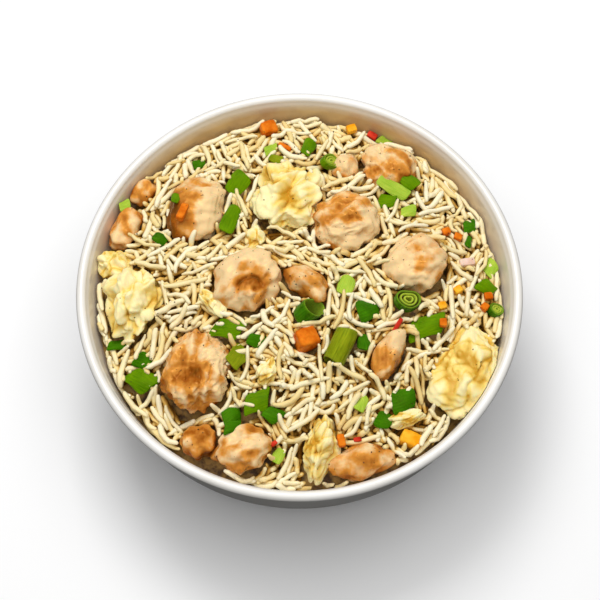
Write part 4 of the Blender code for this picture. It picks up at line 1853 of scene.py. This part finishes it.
@dataclass
class DicedBits:
    """Carrot and pepper: two larger dice, and small ones, one piece for each colour."""

    bowl: Bowl
    # x, y, size, turn, lean and colour
    large: tuple[Die, ...] = (
        Die(1, 0, (8.4, 7.4, 6.8), 25, 12, Dye.CARROT, "carrot_01"),
        Die(2, 0, (8.0, 5.6, 5.2), -20, 10, Dye.AMBER, "carrot_02"),
    )
    small: tuple[Die, ...] = (
        Die(-12.0, 69.5, (6.4, 5.4, 4.6), 20, 10, Dye.CARROT),
        Die(-5.6, 61.0, (5.4, 1.8, 2.0), -25, 4, Dye.CARROT),
        Die(-43.5, 28.0, (7.4, 3.0, 2.4), 70, 10, Dye.CARROT),
        Die(55.0, 24.5, (3.2, 2.8, 2.6), 20, 5, Dye.CARROT),
        Die(59.5, 22.8, (3.2, 2.6, 2.6), -20, 5, Dye.CARROT),
        Die(70.0, -1.2, (3.2, 2.8, 2.6), 10, 5, Dye.CARROT),
        Die(68.5, -5.6, (3.0, 2.8, 2.4), 50, 5, Dye.CARROT),
        Die(52.7, -6.2, (3.2, 3.0, 2.6), 15, 5, Dye.AMBER),
        Die(58.5, 0.0, (3.2, 2.8, 2.6), 35, 5, Dye.AMBER),
        Die(52.4, -14.8, (2.8, 3.2, 2.6), 0, 5, Dye.CARROT),
        Die(14.9, -59.5, (2.8, 4.8, 2.6), 10, 5, Dye.CARROT),
        Die(20.0, 70.0, (4.0, 3.2, 2.8), 20, 5, Dye.AMBER),
        Die(28.0, 68.5, (4.0, 2.6, 2.4), -30, 5, Dye.RED),
        Die(35.8, -15.5, (6.6, 1.6, 1.6), 60, 8, Dye.RED),
        Die(20.8, -58.0, (3.0, 1.6, 1.2), 10, 5, Dye.RED),
        Die(-9.2, -59.8, (2.6, 1.6, 1.2), 40, 5, Dye.RED),
        Die(62.5, 12.0, (6.0, 3.0, 2.2), 10, 5, Dye.BLUSH),
    )

    def build(self, heap: Heap) -> None:
        """Makes the two large dice.

        Args:
            heap: the ground they lie on.
        """
        self.materials = {dye: CookedVegetable(*dye.value).material() for dye in Dye}
        for die in self.large:
            surface = die.surface(middle_of(die.node))
            piece = make_object(die.node + "_diced", surface, self.materials[die.dye])
            heap.stamp(surface.points, cover=True)
            declare(piece, "carrot", die.node)

    def scatter(self, heap: Heap) -> None:
        """Sets the small dice on the rice, one piece for each colour.

        Args:
            heap: the ground they lie on.
        """
        for dye in Dye:
            made = []
            for die in (d for d in self.small if d.dye is dye):
                ground = heap.rest_height(die.x, die.y, 1.5)
                surface = die.surface(np.array([die.x, die.y, ground + 0.25 * die.size[2]]))
                surface.points = inside_wall(surface.points, self.bowl)
                heap.stamp(surface.points, cover=True)
                made.append(surface)
            slot = "onion" if dye is Dye.BLUSH else "carrot"
            declare(make_object(dye.value[0], joined(made), self.materials[dye]), slot)


@dataclass
class Pepper:
    """Ground black pepper: tiny angular flecks on whatever lies on top."""

    heap: Heap
    count: int = 300
    half_size: tuple[float, float] = (0.15, 0.4)
    seed: int = 5

    def build(self) -> bpy.types.Object:
        """Scatters flecks of 0.3 to 0.8 mm at the height of the ground, as one piece.

        Returns:
            Their object.
        """
        rng = np.random.default_rng(self.seed)
        away = (self.heap.edge - 3.0) * np.sqrt(rng.random(self.count))
        turn = rng.uniform(0, 2 * np.pi, self.count)
        x, y = away * np.cos(turn), away * np.sin(turn)
        row, column = self.heap.cells(x, y)
        z = self.heap.ground[row, column] - 0.02
        fleck = ball(2, 4)
        size = rng.uniform(*self.half_size, (self.count, 1, 3)) * np.array([1.0, 1.0, 0.7])
        jag = rng.uniform(0.7, 1.3, (self.count, len(fleck.points), 1))
        points = fleck.points[None] * size * jag + np.stack([x, y, z], axis=1)[:, None]
        start = (np.arange(self.count) * len(fleck.points))[:, None, None]
        surface = Surface(
            points.reshape(-1, 3),
            (fleck.quads[None] + start).reshape(-1, 4),
            (fleck.triangles[None] + start).reshape(-1, 3),
        )
        material = CookedVegetable("ground_pepper", "#2E2018", "#5A4330").material()
        piece = make_object("pepper_flecks", surface, material)
        declare(piece, "rice")
        return piece


# ---------------------------------------------------------------- the studio


@dataclass(frozen=True)
class Lamp:
    """A white square lamp: its place and the length of its side in metres, and its power in watts."""

    name: str
    place: tuple[float, float, float]
    size: float
    power: float


@dataclass
class Studio:
    """A pale floor, soft white lamps and a camera that looks steeply down into the bowl."""

    bowl: Bowl
    elevation: float = math.radians(66.0)
    distance: float = 750.0
    field: float = 221.0
    below_rim: float = 4.86
    sky: float = 0.27
    floor_bounce: float = 0.12
    floor_seen: float = 0.97
    floor_radius: float = 1500.0
    floor_middle: float = 700.0
    floor_thickness: float = 4.0
    lamps: tuple[Lamp, ...] = (
        Lamp("key", (-0.14, 0.42, 0.88), 0.4, 3.9),
        Lamp("top", (0.02, 0.0, 1.1), 1.2, 7.6),
    )

    def camera(self) -> None:
        """Aims at the middle of the rim, a little low, with a lens that takes in the field."""
        back = Vector((0, -math.cos(self.elevation), math.sin(self.elevation)))
        upward = Vector((0, math.sin(self.elevation), math.cos(self.elevation)))
        aim = Vector((0.18, 0, self.bowl.height)) - upward * self.below_rim
        data = bpy.data.cameras.new("camera")
        data.lens = data.sensor_width * self.distance / self.field
        data.clip_start, data.clip_end = 0.05, 20.0
        camera = bpy.data.objects.new("camera", data)
        camera.location = (aim + back * self.distance) * MM
        camera.rotation_mode = "QUATERNION"
        camera.rotation_quaternion = (-back).to_track_quat("-Z", "Y")
        bpy.context.scene.collection.objects.link(camera)
        bpy.context.scene.camera = camera

    def light(self, lamp: Lamp) -> None:
        """Adds a lamp that faces the bowl.

        Args:
            lamp: the lamp.
        """
        data = bpy.data.lights.new(lamp.name, "AREA")
        data.shape, data.size, data.energy = "SQUARE", lamp.size, lamp.power
        made = bpy.data.objects.new(lamp.name, data)
        made.location = lamp.place
        aim = Vector((0, 0, self.bowl.height * MM)) - Vector(lamp.place)
        made.rotation_mode = "QUATERNION"
        made.rotation_quaternion = aim.to_track_quat("-Z", "Y")
        bpy.context.scene.collection.objects.link(made)

    def world(self) -> None:
        """A dim white sky all round, which the camera sees as plain white."""
        world = bpy.data.worlds.new("sky")
        world.use_nodes = True
        tree = world.node_tree
        tree.nodes.clear()
        seen = tree.nodes.new("ShaderNodeLightPath")
        level = tree.nodes.new("ShaderNodeMapRange")
        level.inputs["To Min"].default_value = self.sky
        level.inputs["To Max"].default_value = 1.0
        sky = tree.nodes.new("ShaderNodeBackground")
        sky.inputs["Color"].default_value = (1, 1, 1, 1)
        out = tree.nodes.new("ShaderNodeOutputWorld")
        tree.links.new(seen.outputs["Is Camera Ray"], level.inputs["Value"])
        tree.links.new(level.outputs["Result"], sky.inputs["Strength"])
        tree.links.new(sky.outputs["Background"], out.inputs["Surface"])
        bpy.context.scene.world = world

    def floor(self) -> None:
        """A wide pale disc just under the foot ring, nearly white, that keeps the shadow."""
        edge, top = self.floor_radius, -0.05
        middle, under = self.floor_middle, top - self.floor_thickness
        profile = np.array([(0, top), (middle, top), (edge, top), (edge, under), (middle, under), (0, under)])
        dress = Dresser("pale_floor")
        seen = dress.node("ShaderNodeLightPath")
        level = dress.scaled(seen.outputs["Is Camera Ray"], self.floor_bounce, self.floor_seen)
        grey = dress.node("ShaderNodeCombineColor", None, {"Red": level, "Green": level, "Blue": level})
        dress.feed("Base Color", grey.outputs["Color"])
        dress.constants(Roughness=0.9, Specular_IOR_Level=0.0)
        floor = make_object("floor", turned(profile, 64), dress.material)

    def build(self) -> None:
        """Sets the view to plain colours, then the floor, lamps and camera."""
        bpy.context.scene.view_settings.view_transform = "Standard"
        self.floor()
        self.world()
        for lamp in self.lamps:
            self.light(lamp)
        self.camera()


def main() -> None:
    """Builds the bowl, the heap, its toppings and the grains, and sets up the studio."""
    logging.basicConfig(level=logging.INFO, format="%(name)s: %(message)s")
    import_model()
    low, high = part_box("bowl")
    bowl = Bowl(radius=(high.x - low.x) / 2 / MM, height=high.z / MM)
    bowl.build()
    heap = Heap(bowl)
    heap.build_core()
    toppings = (Chicken(bowl), Egg(bowl), SpringOnion(bowl), DicedBits(bowl))
    for topping in toppings:
        topping.build(heap)
    grains = GrainPile(heap)
    LOG.info("lower grains: %d", grains.lay(wanted=2700, ceiling=0.0, cover_share=0.25))
    for topping in toppings[1:]:
        topping.scatter(heap)
    LOG.info("upper grains: %d", grains.lay(wanted=420, ceiling=1.5, cover_share=0.14))
    grains.stick(80)
    grains.build()
    Pepper(heap).build()
    Studio(bowl).build()


if __name__ == "__main__":
    main()
